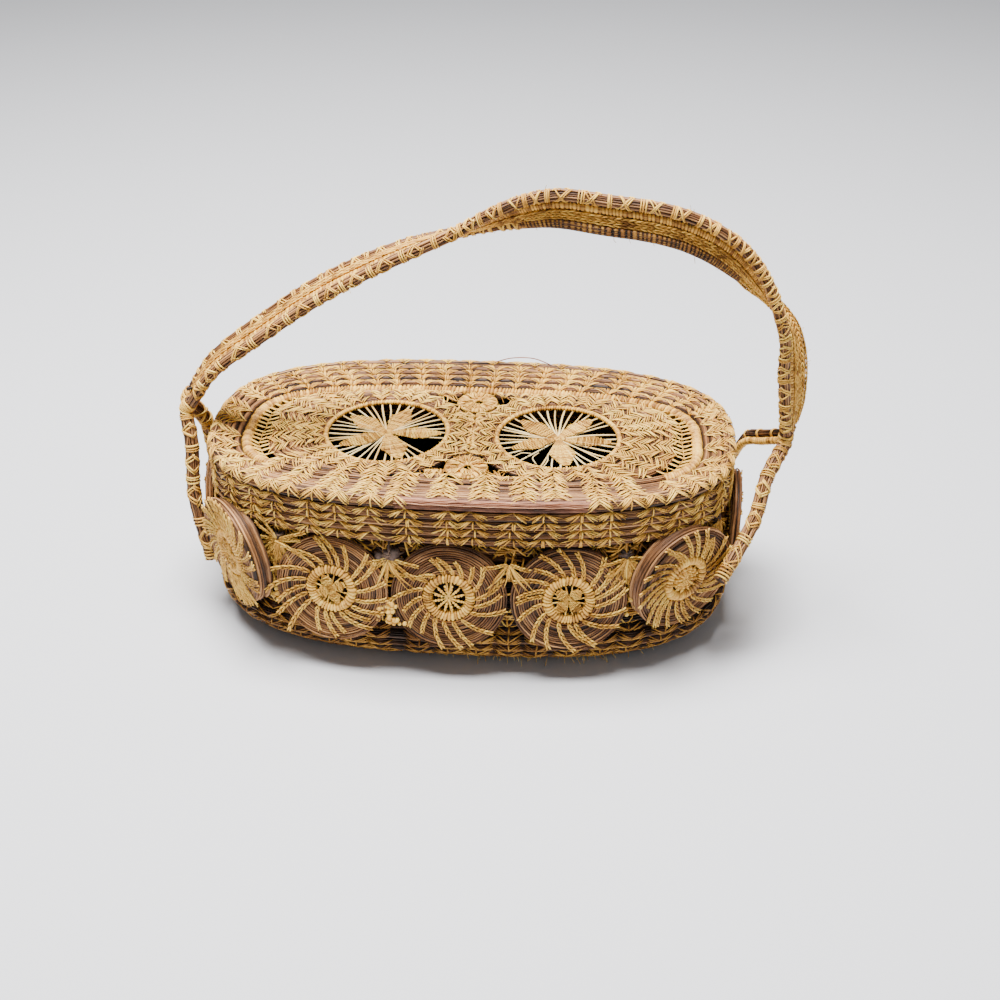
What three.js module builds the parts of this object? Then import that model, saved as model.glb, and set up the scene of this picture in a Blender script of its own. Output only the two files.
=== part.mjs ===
// Oval coiled basket bag with a lift-off lid, a wall of wound medallions and a twisted strap handle.
// Millimetres, +X along the length, +Y to the back, +Z up, origin at the middle of the flat foot.
import * as THREE from "three";

// Driving sizes
const LID_LENGTH = 230;
const LID_WIDTH = 127;
const LID_TOP = 88;
const HANDLE_RISE = 101;
const BAND_HEIGHT = 21.5;
const COIL = 4;
const RIB = 0.8;
const WALL = 4.2;
const CLEAR = 0.35;
const LID_PLAY = 0.8;
const DISH = 3.6;
const TOP_ROWS = 5;
const SIDE_ROWS = 4;
const OVAL_POWER = 2.8;
const HOOP_POWER = 3.2;
const HOOP_LENGTH = 198;
const HOOP_WIDTH = 82;
const HOOP_TUBE = 4.6;
const HOLE_RADIUS = 26;
const DISC_RADIUS = 37.6;
const DISC_ROWS = 3;
const NET_WIDTH = 7.4;
const NET_HALF = 32;
const STAR_SPOKES = 30;
const STAR_PETALS = 5;
const SPOKE_WIDTH = 0.9;
const STAR_THICK = 1.4;
const ROSETTE_Y = 28.6;
const ROSETTE_RADIUS = 9.5;
const MEDALLIONS = 12;
const MEDALLION_SHIFT = -4.6;
const MEDALLION_Z = 41;
const MEDALLION_LEAN = 8;
const MEDALLION_THICK = 3;
const MEDALLION_OUT = 0;
const END_RISE = 4.25;
const END_OUT = 1.2;
const END_LEAN = -4;
const RING_RADIUS = 11.5;
const RING_TUBE = 4.8;
const FOOT_LENGTH = 190;
const FOOT_WIDTH = 87;
const BOWL_HEIGHT = 20;
const BOWL_ROWS = 5;
const FLOOR = 4;
const RIM_BOTTOM = 58.5;
const STRAP_EDGE = 2.6;
const STRAP_INNER = 1.75;
const LEG_WIDE = 3.7;
const LEG_THIN = 3;
const ROUND = 44;

// Strap centre line: part of the half length, part of the handle's rise over the lid, and the strap's turn
// about its own length in degrees
const STRAP = [
  { along: -1.078, rise: 0.099, turn: -12 },
  { along: -0.984, rise: 0.251, turn: -13 },
  { along: -0.778, rise: 0.438, turn: -17 },
  { along: -0.579, rise: 0.599, turn: -16 },
  { along: -0.417, rise: 0.705, turn: -12 },
  { along: -0.232, rise: 0.806, turn: -2 },
  { along: -0.051, rise: 0.884, turn: 18 },
  { along: 0.072, rise: 0.94, turn: 40 },
  { along: 0.186, rise: 0.98, turn: 64 },
  { along: 0.308, rise: 1, turn: 82 },
  { along: 0.483, rise: 0.976, turn: 90 },
  { along: 0.657, rise: 0.95, turn: 90 },
  { along: 0.79, rise: 0.907, turn: 86 },
  { along: 0.897, rise: 0.844, turn: 76 },
  { along: 0.967, rise: 0.78, turn: 60 },
  { along: 1.03, rise: 0.704, turn: 38 },
  { along: 1.088, rise: 0.62, turn: 12 },
  { along: 1.157, rise: 0.481, turn: -20 },
  { along: 1.183, rise: 0.32, turn: -40 },
  { along: 1.197, rise: 0.149, turn: -32 },
  { along: 1.196, rise: 0.042, turn: -18 },
];

// Legs of the handle: which end of the strap, front or rear half, and points on the way down to the wall,
// as distance out from the lid's outline, y as part of the half width and z as part of the lid's height
const LEGS = [
  { name: "leg_front_left", end: 0, side: 1, path: [[9.2, -0.16, 0.9], [9.8, -0.25, 0.63], [4.7, -0.36, 0.3]] },
  { name: "leg_rear_left", end: 0, side: -1, path: [[9, 0.2, 0.9], [9.8, 0.3, 0.66], [6.45, 0.33, 0.34]] },
  { name: "leg_front_right", end: 1, side: 1, path: [[14.5, -0.28, 0.885], [12.7, -0.44, 0.7], [15.35, -0.74, 0.49]] },
  { name: "leg_rear_right", end: 1, side: -1, path: [[16, 0.22, 0.9], [12.2, 0.43, 0.8], [10.65, 0.55, 0.59]] },
];

// Medallions at the ends of the bag, by number from the front middle: they stand on the base's edge and are
// turned so many degrees from the outline
const ENDS = new Map([[2, 4], [3, 0], [4, -4], [8, 4], [9, 0], [10, -8]]);

// Spokes that are gone from each star, by number counted from +X
const STARS = [
  { name: "left", side: -1, turn: 1, missing: [28] },
  { name: "right", side: 1, turn: -5, missing: [18, 20] },
];

// Superellipse of half axes a and b
function oval(a, b, power, t) {
  const c = Math.cos(t);
  const s = Math.sin(t);
  return [
    a * Math.sign(c) * Math.abs(c) ** (2 / power),
    b * Math.sign(s) * Math.abs(s) ** (2 / power),
  ];
}

// Angles that space points of an oval evenly along it, and its length, counted from the front middle
function evenAngles(a, b, power, count, shift = 0) {
  const fine = 2000;
  const run = [0];
  let before = oval(a, b, power, -Math.PI / 2);
  for (let i = 1; i <= fine; i++) {
    const here = oval(a, b, power, -Math.PI / 2 + (i / fine) * 2 * Math.PI);
    run.push(run[i - 1] + Math.hypot(here[0] - before[0], here[1] - before[1]));
    before = here;
  }
  const length = run[fine];
  const angles = [];
  for (let k = 0; k < count; k++) {
    const want = (((k * length) / count + shift) % length + length) % length;
    let i = run.findIndex((s) => s > want);
    if (i < 1) i = fine;
    const part = (want - run[i - 1]) / (run[i] - run[i - 1]);
    angles.push(-Math.PI / 2 + ((i - 1 + part) / fine) * 2 * Math.PI);
  }
  return { angles, length };
}

const LONG = LID_LENGTH / 2;
const WIDE = LID_WIDTH / 2;
const TURN = evenAngles(LONG, WIDE, OVAL_POWER, ROUND).angles;
const mix = (from, to, part) => from + (to - from) * part;

// Closed surface through rings of points; flat ends are closed round their middles when capped
function skin(rings, { loop = false, capped = !loop } = {}) {
  const count = rings[0].length;
  const points = rings.flat();
  const faces = [];
  const last = loop ? rings.length : rings.length - 1;
  for (let i = 0; i < last; i++) {
    const a = i * count;
    const b = ((i + 1) % rings.length) * count;
    for (let j = 0; j < count; j++) {
      const k = (j + 1) % count;
      faces.push(a + j, b + j, b + k, a + j, b + k, a + k);
    }
  }
  if (capped) {
    for (const [ring, start, flip] of [
      [rings[0], 0, false],
      [rings[rings.length - 1], (rings.length - 1) * count, true],
    ]) {
      const middle = new THREE.Vector3();
      ring.forEach((p) => middle.addScaledVector(p, 1 / count));
      points.push(middle);
      for (let j = 0; j < count; j++) {
        const k = (j + 1) % count;
        if (flip) faces.push(points.length - 1, start + k, start + j);
        else faces.push(points.length - 1, start + j, start + k);
      }
    }
  }
  let volume = 0;
  for (let i = 0; i < faces.length; i += 3) {
    const [a, b, c] = [0, 1, 2].map((k) => points[faces[i + k]]);
    volume += a.dot(new THREE.Vector3().crossVectors(b, c));
  }
  if (volume < 0) faces.reverse();
  const geometry = new THREE.BufferGeometry().setFromPoints(points);
  geometry.setIndex(faces);
  return geometry;
}

// Ring solid round the oval: the profile gives, at each corner, a function of the angle
function hoopSolid(corners, angles = TURN) {
  return skin(
    angles.map((t) => corners.map((corner) => corner(t))),
    { loop: true },
  );
}

// Corner of a profile at part g of the way from the lid's outline to its hoop, inset d, height z
function lidCorner(g, d, z) {
  const a = mix(LONG, HOOP_LENGTH / 2 + HOOP_TUBE / 2 + CLEAR, g) - d;
  const b = mix(WIDE, HOOP_WIDTH / 2 + HOOP_TUBE / 2 + CLEAR, g) - d;
  const power = mix(OVAL_POWER, HOOP_POWER, g);
  return (t) => new THREE.Vector3(...oval(a, b, power, t), z);
}

const crown = (g) => LID_TOP - DISH * Math.max(0, g - 0.1) / 0.9;
const BAND_BOTTOM = LID_TOP - BAND_HEIGHT;
const SEAT = LID_TOP - WALL - 1.6;

// Lid: side band, rolled edge and dished top rows in one run of coils
function lidCoil() {
  const corners = [];
  const sideRow = (BAND_HEIGHT - 1.35 * COIL) / SIDE_ROWS;
  for (let k = 0; k < SIDE_ROWS; k++) {
    corners.push(lidCorner(0, RIB, BAND_BOTTOM + k * sideRow));
    corners.push(lidCorner(0, 0, BAND_BOTTOM + (k + 0.5) * sideRow));
  }
  corners.push(lidCorner(0, RIB, LID_TOP - 1.35 * COIL));
  corners.push(lidCorner(0, 0, LID_TOP - 0.7 * COIL));
  corners.push(lidCorner(0.09, 0, LID_TOP));
  for (let k = 1; k < TOP_ROWS; k++) {
    corners.push(lidCorner(k / TOP_ROWS, 0, crown(k / TOP_ROWS) - RIB));
    corners.push(lidCorner((k + 0.5) / TOP_ROWS, 0, crown((k + 0.5) / TOP_ROWS)));
  }
  corners.push(lidCorner(1, 0, crown(1) - RIB));
  corners.push(lidCorner(1, 0, crown(1) - WALL));
  corners.push(lidCorner(0, WALL + LID_PLAY + WALL + 1.2, SEAT));
  corners.push(lidCorner(0, WALL, SEAT));
  corners.push(lidCorner(0, WALL, BAND_BOTTOM));
  return hoopSolid(corners);
}

// Raffia-wrapped oval hoop of the lid
const HOOP_Z = crown(1) - WALL / 2;
function lidHoop() {
  const corners = [];
  for (let k = 0; k < 6; k++) {
    const turn = (k / 6) * 2 * Math.PI;
    const out = (HOOP_TUBE / 2) * Math.cos(turn);
    const z = HOOP_Z + (HOOP_TUBE / 2) * Math.sin(turn);
    const point = (t) =>
      new THREE.Vector3(...oval(HOOP_LENGTH / 2 + out, HOOP_WIDTH / 2 + out, HOOP_POWER, t), z);
    corners.push(point);
  }
  return hoopSolid(corners);
}

// How far a disc of the lid reaches in one direction: outward to the open net along the hoop, and across to
// the other disc and the rosettes
const DISC_X = DISC_RADIUS + CLEAR;
const HOOP_LINE = evenAngles(HOOP_LENGTH / 2, HOOP_WIDTH / 2, HOOP_POWER, 300).angles.map((t) =>
  oval(HOOP_LENGTH / 2, HOOP_WIDTH / 2, HOOP_POWER, t),
);
function discReach(t) {
  const fits = (r) => {
    const x = DISC_X + r * Math.cos(t);
    const y = r * Math.sin(t);
    if (x < DISC_X) {
      const rosette = Math.hypot(x, Math.abs(y) - ROSETTE_Y);
      return x > CLEAR && Math.abs(y) < ROSETTE_Y - ROSETTE_RADIUS && rosette > 1.3 * ROSETTE_RADIUS;
    }
    const net = NET_WIDTH * Math.max(0, 1 - (y / NET_HALF) ** 2);
    const hoop = Math.min(...HOOP_LINE.map(([a, b]) => Math.hypot(a - x, b - y)));
    return hoop > HOOP_TUBE / 2 + 4 * CLEAR + net;
  };
  let r = DISC_RADIUS;
  while (fits(r + 0.1)) r += 0.1;
  return r;
}

// Coiled ring of the lid round one opening
function lidDisc(side) {
  const corners = [];
  const edge = (t) => discReach(side > 0 ? t : Math.PI - t);
  const corner = (u, z) => (t) => {
    const r = mix(HOLE_RADIUS, edge(t), u);
    return new THREE.Vector3(side * DISC_X + r * Math.cos(t), r * Math.sin(t), z);
  };
  const top = HOOP_Z + WALL / 2;
  corners.push(corner(1, HOOP_Z - WALL / 2 + 0.6));
  for (let k = DISC_ROWS; k > 0; k--) {
    corners.push(corner(k / DISC_ROWS, top - RIB));
    corners.push(corner((k - 0.5) / DISC_ROWS, top));
  }
  corners.push(corner(0, top - RIB));
  corners.push(corner(0, HOOP_Z - WALL / 2 + 0.6));
  const angles = Array.from({ length: 28 }, (_, i) => (i / 28) * 2 * Math.PI);
  return hoopSolid(corners, angles);
}

// Spoked star with filled petals, cut through between its spokes
function lidStar({ side, turn, missing }) {
  const outer = HOLE_RADIUS - CLEAR;
  const shape = new THREE.Shape();
  shape.absarc(0, 0, outer, 0, 2 * Math.PI);
  const pitch = (2 * Math.PI) / STAR_SPOKES;
  const start = THREE.MathUtils.degToRad(turn);
  const far = outer - 1.6;
  const near = (angle) => {
    const wave = 0.5 + 0.5 * Math.cos((angle - start) * STAR_PETALS);
    return mix(0.33, 0.74, wave ** 1.5) * outer;
  };
  for (let k = 0; k < STAR_SPOKES; k++) {
    if (missing.includes(k)) continue;
    let end = k + 1;
    while (missing.includes(end)) end++;
    const from = k * pitch + start;
    const to = end * pitch + start;
    const corner = (r, angle, half) => {
      const swing = Math.asin(half / r);
      return new THREE.Vector2(r * Math.cos(angle + swing), r * Math.sin(angle + swing));
    };
    const hole = [corner(far, from, SPOKE_WIDTH / 2)];
    for (let m = k + 1; m < end; m++) hole.push(corner(far, m * pitch + start, 0));
    hole.push(corner(far, to, -SPOKE_WIDTH / 2));
    hole.push(corner(near(to), to, -SPOKE_WIDTH / 2));
    for (let m = end - 1; m > k; m--) hole.push(corner(near(m * pitch + start), m * pitch + start, 0));
    hole.push(corner(near(from), from, SPOKE_WIDTH / 2));
    shape.holes.push(new THREE.Path(hole));
  }
  const geometry = new THREE.ExtrudeGeometry(shape, {
    depth: STAR_THICK,
    bevelEnabled: false,
    curveSegments: 15,
  });
  geometry.translate(side * DISC_X, 0, HOOP_Z - STAR_THICK / 2);
  return geometry;
}

// Small wrapped rosette of the lid
function lidRosette(side) {
  const r = ROSETTE_RADIUS;
  const h = WALL / 2 - 0.2;
  const profile = [
    [0, -h * 0.7],
    [r - 1.2, -h],
    [r, 0],
    [r - 1.2, h],
    [r - 3.4, h],
    [r - 4.6, h * 0.4],
    [0, h * 0.5],
  ].map(([x, y]) => new THREE.Vector2(x, y));
  const geometry = new THREE.LatheGeometry(profile, 18);
  geometry.rotateX(Math.PI / 2);
  geometry.translate(0, side * ROSETTE_Y, HOOP_Z);
  return geometry;
}

// Wall of medallions: flat wound discs that lean out at the foot
const WALL_LONG = LONG + MEDALLION_OUT;
const WALL_WIDE = WIDE + MEDALLION_OUT;
const PLACES = evenAngles(WALL_LONG, WALL_WIDE, OVAL_POWER, MEDALLIONS, MEDALLION_SHIFT);
const MEDALLION_RADIUS = PLACES.length / MEDALLIONS / 2 - 0.4;
const LEAN = THREE.MathUtils.degToRad(MEDALLION_LEAN);

function medallion(t, i) {
  const half = MEDALLION_THICK / 2;
  const inner = RING_RADIUS - RING_TUBE;
  const profile = [
    [inner + 0.5, -half],
    [MEDALLION_RADIUS - 0.8, -half],
    [MEDALLION_RADIUS, 0],
    [MEDALLION_RADIUS - 0.8, half],
    [RING_RADIUS + 0.5, half],
    [RING_RADIUS - 1.2, half + 1],
    [inner, 0.4],
    [inner + 0.5, -half],
  ].map(([x, y]) => new THREE.Vector2(x, y));
  const geometry = new THREE.LatheGeometry(profile, 16);
  geometry.rotateX(Math.PI / 2);
  const step = 0.001;
  const here = oval(WALL_LONG, WALL_WIDE, OVAL_POWER, t);
  const next = oval(WALL_LONG, WALL_WIDE, OVAL_POWER, t + step);
  const atEnd = ENDS.has(i);
  const along = new THREE.Vector3(next[0] - here[0], next[1] - here[1], 0).normalize();
  const shift = new THREE.Vector3(along.y, -along.x, 0).multiplyScalar(atEnd ? END_OUT : 0);
  if (atEnd) along.applyAxisAngle(new THREE.Vector3(0, 0, 1), THREE.MathUtils.degToRad(ENDS.get(i)));
  const lean = atEnd ? THREE.MathUtils.degToRad(END_LEAN) : LEAN;
  const face = new THREE.Vector3(along.y, -along.x, 0).multiplyScalar(Math.cos(lean));
  face.z = Math.sin(lean);
  const up = new THREE.Vector3().crossVectors(face, along);
  geometry.applyMatrix4(new THREE.Matrix4().makeBasis(along, up, face));
  geometry.translate(here[0] + shift.x, here[1] + shift.y, MEDALLION_Z + (atEnd ? END_RISE : 0));
  return geometry;
}

// Inner face of the wall at height z, measured out from the lid's outline
const wallInside = (z) =>
  MEDALLION_OUT - MEDALLION_THICK / 2 / Math.cos(LEAN) + (MEDALLION_Z - z) * Math.tan(LEAN);

// Base: flat foot and a bowl of coil rows that comes up behind the foot of the wall
function base() {
  const lip = wallInside(BOWL_HEIGHT) - CLEAR;
  const bowl = (u, inset) => {
    const s = Math.sin((u * Math.PI) / 2);
    const z = BOWL_HEIGHT * (1 - Math.cos((u * Math.PI) / 2));
    const a = mix(FOOT_LENGTH / 2, LONG + lip, s);
    const b = mix(FOOT_WIDTH / 2, WIDE + lip, s);
    return (t) => new THREE.Vector3(...oval(a - inset, b - inset, OVAL_POWER, t), z);
  };
  const raised = (corner, dz) => (t) => corner(t).setZ(corner(t).z + dz);
  const corners = [bowl(0, 0)];
  for (let k = 0; k < BOWL_ROWS; k++) {
    corners.push(bowl((k + 0.5) / BOWL_ROWS, 0));
    if (k < BOWL_ROWS - 1) corners.push(bowl((k + 1) / BOWL_ROWS, RIB));
  }
  corners.push(bowl(1, 0));
  corners.push(raised(bowl(1, WALL), 0.4));
  corners.push(raised(bowl(0.6, WALL), 1.2));
  corners.push(raised(bowl(0.3, WALL), 2.8));
  corners.push(raised(bowl(0, WALL + 2), FLOOR));
  const rings = corners.map((corner) => TURN.map((t) => corner(t)));
  return skin(rings);
}

// Rim: plain coiled collar inside the lid's band
function rim() {
  const out = WALL + LID_PLAY;
  const rows = 3;
  const top = SEAT - CLEAR;
  const row = (top - RIM_BOTTOM) / rows;
  const corners = [];
  for (let k = 0; k < rows; k++) {
    corners.push(lidCorner(0, out, RIM_BOTTOM + (k + 0.3) * row));
    corners.push(lidCorner(0, out + (k < rows - 1 ? RIB / 2 : 1), RIM_BOTTOM + (k + 1) * row));
  }
  corners.push(lidCorner(0, out + WALL - 0.6, top));
  corners.push(lidCorner(0, out + WALL, top - 1));
  corners.push(lidCorner(0, out + WALL, RIM_BOTTOM + 0.6));
  corners.push(lidCorner(0, out + 1, RIM_BOTTOM));
  return hoopSolid(corners);
}

// Strap: coils side by side, swept along its line and turned as the table says
const LINE = new THREE.CatmullRomCurve3(
  STRAP.map(({ along, rise }) => new THREE.Vector3(along * LONG, 0, LID_TOP + rise * HANDLE_RISE)),
  false,
  "centripetal",
);
const TURNS = new THREE.CatmullRomCurve3(
  STRAP.map(({ turn }, i) => new THREE.Vector3(i, turn, 0)),
);

function strapFrame(part) {
  const along = LINE.getTangent(part);
  const front = new THREE.Vector3(0, -1, 0);
  const out = new THREE.Vector3().crossVectors(front, along).normalize();
  front.crossVectors(along, out);
  const turn = THREE.MathUtils.degToRad(TURNS.getPoint(part).y);
  const wide = front.clone().multiplyScalar(Math.cos(turn)).addScaledVector(out, Math.sin(turn));
  const face = out.clone().multiplyScalar(Math.cos(turn)).addScaledVector(front, -Math.sin(turn));
  return { middle: LINE.getPoint(part), along, wide, face };
}

// Section of the strap: two thick edge coils and two thin ones between, as half widths and heights
function strapSection() {
  const half = 2 * STRAP_INNER + 2 * STRAP_EDGE;
  const crest = [];
  crest.push([half - 0.5 * STRAP_EDGE, STRAP_EDGE], [half - 1.5 * STRAP_EDGE, STRAP_EDGE]);
  crest.push([STRAP_INNER, STRAP_INNER], [-STRAP_INNER, STRAP_INNER]);
  crest.push([1.5 * STRAP_EDGE - half, STRAP_EDGE], [0.5 * STRAP_EDGE - half, STRAP_EDGE]);
  const under = crest.map(([w, h]) => [w, -h]).reverse();
  return [[half, 0], ...crest, [-half, 0], ...under];
}

function strap() {
  const steps = 32;
  const section = strapSection();
  const rings = [];
  for (let i = 0; i <= steps; i++) {
    const { middle, wide, face } = strapFrame(i / steps);
    const place = ([w, h]) => middle.clone().addScaledVector(wide, w).addScaledVector(face, h);
    rings.push(section.map(place));
  }
  return skin(rings);
}

// Point beside one end of the bag, so far out from the lid's outline
function wallPoint(sign, out, y, z) {
  const x = LONG * (1 - Math.abs(y / WIDE) ** OVAL_POWER) ** (1 / OVAL_POWER);
  return new THREE.Vector3(sign * (x + out), y, z);
}

// Leg: flat coil from one half of the strap's end down to the wall
function leg({ end, side, path }) {
  const { middle, along, wide, face } = strapFrame(end);
  const down = along.clone().multiplyScalar(end ? 1 : -1);
  const start = middle.clone().addScaledVector(wide, side * (LEG_WIDE + 0.4)).addScaledVector(down, CLEAR);
  const second = start.clone().addScaledVector(down, 5);
  const curve = new THREE.CatmullRomCurve3([
    start,
    second,
    ...path.map(([out, y, z]) => wallPoint(end ? 1 : -1, out, y * WIDE, z * LID_TOP)),
  ]);
  const steps = 10;
  const sides = 8;
  const rings = [];
  for (let i = 0; i <= steps; i++) {
    const centre = curve.getPoint(i / steps);
    const run = i ? curve.getTangent(i / steps) : down;
    const thin = face.clone().addScaledVector(run, -face.dot(run)).normalize();
    const broad = new THREE.Vector3().crossVectors(thin, run);
    const ring = [];
    for (let k = 0; k < sides; k++) {
      const a = (k / sides) * 2 * Math.PI;
      const point = centre.clone().addScaledVector(broad, LEG_WIDE * Math.cos(a));
      ring.push(point.addScaledVector(thin, LEG_THIN * Math.sin(a)));
    }
    rings.push(ring);
  }
  return skin(rings);
}

// The bag
const bag = new THREE.Group();
bag.name = "basket_bag";
const COLOURS = { needle: 0x8a6248, raffia: 0xd6b274 };
function add(name, geometry, colour) {
  const material = new THREE.MeshStandardMaterial({ color: COLOURS[colour], roughness: 0.8 });
  const mesh = new THREE.Mesh(geometry, material);
  mesh.name = name;
  bag.add(mesh);
}

add("base", base(), "needle");
add("rim", rim(), "needle");
PLACES.angles.forEach((t, i) => add(`medallion_${String(i + 1).padStart(2, "0")}`, medallion(t, i), "needle"));
add("lid_coil", lidCoil(), "needle");
add("lid_hoop", lidHoop(), "raffia");
for (const star of STARS) {
  add(`lid_disc_${star.name}`, lidDisc(star.side), "needle");
  add(`lid_star_${star.name}`, lidStar(star), "raffia");
}
add("lid_rosette_front", lidRosette(-1), "raffia");
add("lid_rosette_back", lidRosette(1), "raffia");
add("handle_strap", strap(), "needle");
LEGS.forEach((row) => add(row.name, leg(row), "needle"));

export default bag;
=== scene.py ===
"""Looks of the coiled basket bag: needle coils, raffia stitches, woven stars and wound medallions."""

import math

import bpy
import numpy as np
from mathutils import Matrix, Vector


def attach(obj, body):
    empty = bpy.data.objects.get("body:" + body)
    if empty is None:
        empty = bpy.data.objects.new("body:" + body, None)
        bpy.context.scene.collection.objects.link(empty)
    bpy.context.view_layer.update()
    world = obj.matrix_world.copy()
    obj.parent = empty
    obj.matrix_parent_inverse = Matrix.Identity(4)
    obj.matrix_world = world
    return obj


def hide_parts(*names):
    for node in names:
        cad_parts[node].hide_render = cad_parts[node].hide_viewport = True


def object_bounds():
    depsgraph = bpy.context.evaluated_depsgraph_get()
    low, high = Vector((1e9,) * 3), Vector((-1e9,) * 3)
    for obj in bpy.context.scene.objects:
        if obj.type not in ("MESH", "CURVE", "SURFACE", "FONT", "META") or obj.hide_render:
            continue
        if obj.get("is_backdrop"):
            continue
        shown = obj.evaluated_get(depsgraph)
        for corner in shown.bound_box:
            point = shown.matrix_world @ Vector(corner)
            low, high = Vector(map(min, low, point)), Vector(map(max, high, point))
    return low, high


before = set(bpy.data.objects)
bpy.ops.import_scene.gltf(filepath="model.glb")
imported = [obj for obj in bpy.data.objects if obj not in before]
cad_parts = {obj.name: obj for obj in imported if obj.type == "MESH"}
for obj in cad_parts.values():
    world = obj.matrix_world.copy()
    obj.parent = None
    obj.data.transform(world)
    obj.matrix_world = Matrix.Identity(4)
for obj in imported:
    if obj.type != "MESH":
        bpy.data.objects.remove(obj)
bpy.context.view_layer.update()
rng = np.random.default_rng(41)

# Sizes in millimetres, the same as the solids'
LONG = 115.0
WIDE = 63.5
LID_TOP = 88.0
RISE = 101.0
BAND_BOTTOM = 66.5
SIDE_STEP = 4.025
HOOP_LONG = 99.0
HOOP_WIDE = 41.0
HOOP_Z = 82.3
HOOP_TUBE = 2.3
HOLE = 26.0
DISC_X = 37.95
DISC_EDGE = 37.6
NET_WIDTH = 7.4
NET_HALF = 32.0
DISC_TOP = 84.4
DISC_LOW = 80.8
ROSETTE_Y = 28.6
MEDALLION_Z = 41.0
MEDALLION_LEAN = math.radians(8)
MEDALLION_SHIFT = -4.6
END_RISE = 4.25
END_OUT = 1.2
END_LEAN = math.radians(-4)
# Turn in degrees of the medallions at the two ends, by station
ENDS = {2: 4, 3: 0, 4: -4, 8: 4, 9: 0, 10: -8}
RING_MIDDLE = 9.1
RING_TUBE = 2.4
FOOT_LONG = 95.0
FOOT_WIDE = 43.5
BOWL = 20.0
OVAL = 2.8
HOOP_OVAL = 3.2
TAU = 2 * math.pi
UP = np.array([0.0, 0.0, 1.0])
EAST = np.array([1.0, 0.0, 0.0])
NORTH = np.array([0.0, 1.0, 0.0])
SAMPLES = 720


# Small helpers
def unit(v):
    return v / np.maximum(np.linalg.norm(v, axis=-1, keepdims=True), 1e-9)


def mix(a, b, t):
    return a + (b - a) * t


def vary(low, high, count):
    """A random value for each strand, as a column."""
    return rng.uniform(low, high, (count, 1))


def jitter(spread, count):
    """A small random error for each strand, as a column."""
    return rng.normal(0, spread, (count, 1))


def around(angle, across, up):
    """Directions at angles from across towards up."""
    return np.cos(angle)[..., None] * across + np.sin(angle)[..., None] * up


def travel(path, closed=False):
    """Steps of paths from point to point."""
    if closed:
        return np.roll(path, -1, 1) - np.roll(path, 1, 1)
    return np.gradient(path, axis=1)


def linear(red, green, blue):
    """Colour from 0 to 255 to the linear values that a shader takes."""
    c = np.array([red, green, blue]) / 255.0
    c = np.where(c <= 0.04045, c / 12.92, ((c + 0.055) / 1.055) ** 2.4)
    return (float(c[0]), float(c[1]), float(c[2]), 1.0)


def ripple(count, steps, top, closed=True):
    """Slow uneven waves, a row for each strand; on a closed row the ends meet."""
    t = np.arange(steps) / (steps if closed else steps - 1) * TAU
    out = np.zeros((count, steps))
    for _ in range(4):
        turns = rng.integers(1, top + 1, (count, 1))
        out += vary(0.3, 1, count) * np.sin(turns * t + vary(0, TAU, count))
    return out / 2.2


def catmull(points, steps):
    """Centripetal Catmull-Rom curve through points."""
    p = np.asarray(points, float)
    p = np.vstack([2 * p[0] - p[1], p, 2 * p[-1] - p[-2]])
    spans = len(p) - 3
    place = np.linspace(0, 1, steps)
    i = np.minimum((place * spans).astype(int), spans - 1)
    w = (place * spans - i)[:, None]
    x0, x1, x2, x3 = p[i], p[i + 1], p[i + 2], p[i + 3]
    pairs = ((x0, x1), (x1, x2), (x2, x3))
    d0, d1, d2 = (np.maximum(((b - a) ** 2).sum(1) ** 0.25, 1e-6)[:, None] for a, b in pairs)
    t1 = ((x1 - x0) / d0 - (x2 - x0) / (d0 + d1) + (x2 - x1) / d1) * d1
    t2 = ((x2 - x1) / d1 - (x3 - x1) / (d1 + d2) + (x3 - x2) / d2) * d1
    return x1 + t1 * w + (-3 * x1 + 3 * x2 - 2 * t1 - t2) * w**2 + (2 * x1 - 2 * x2 + t1 + t2) * w**3


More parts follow.
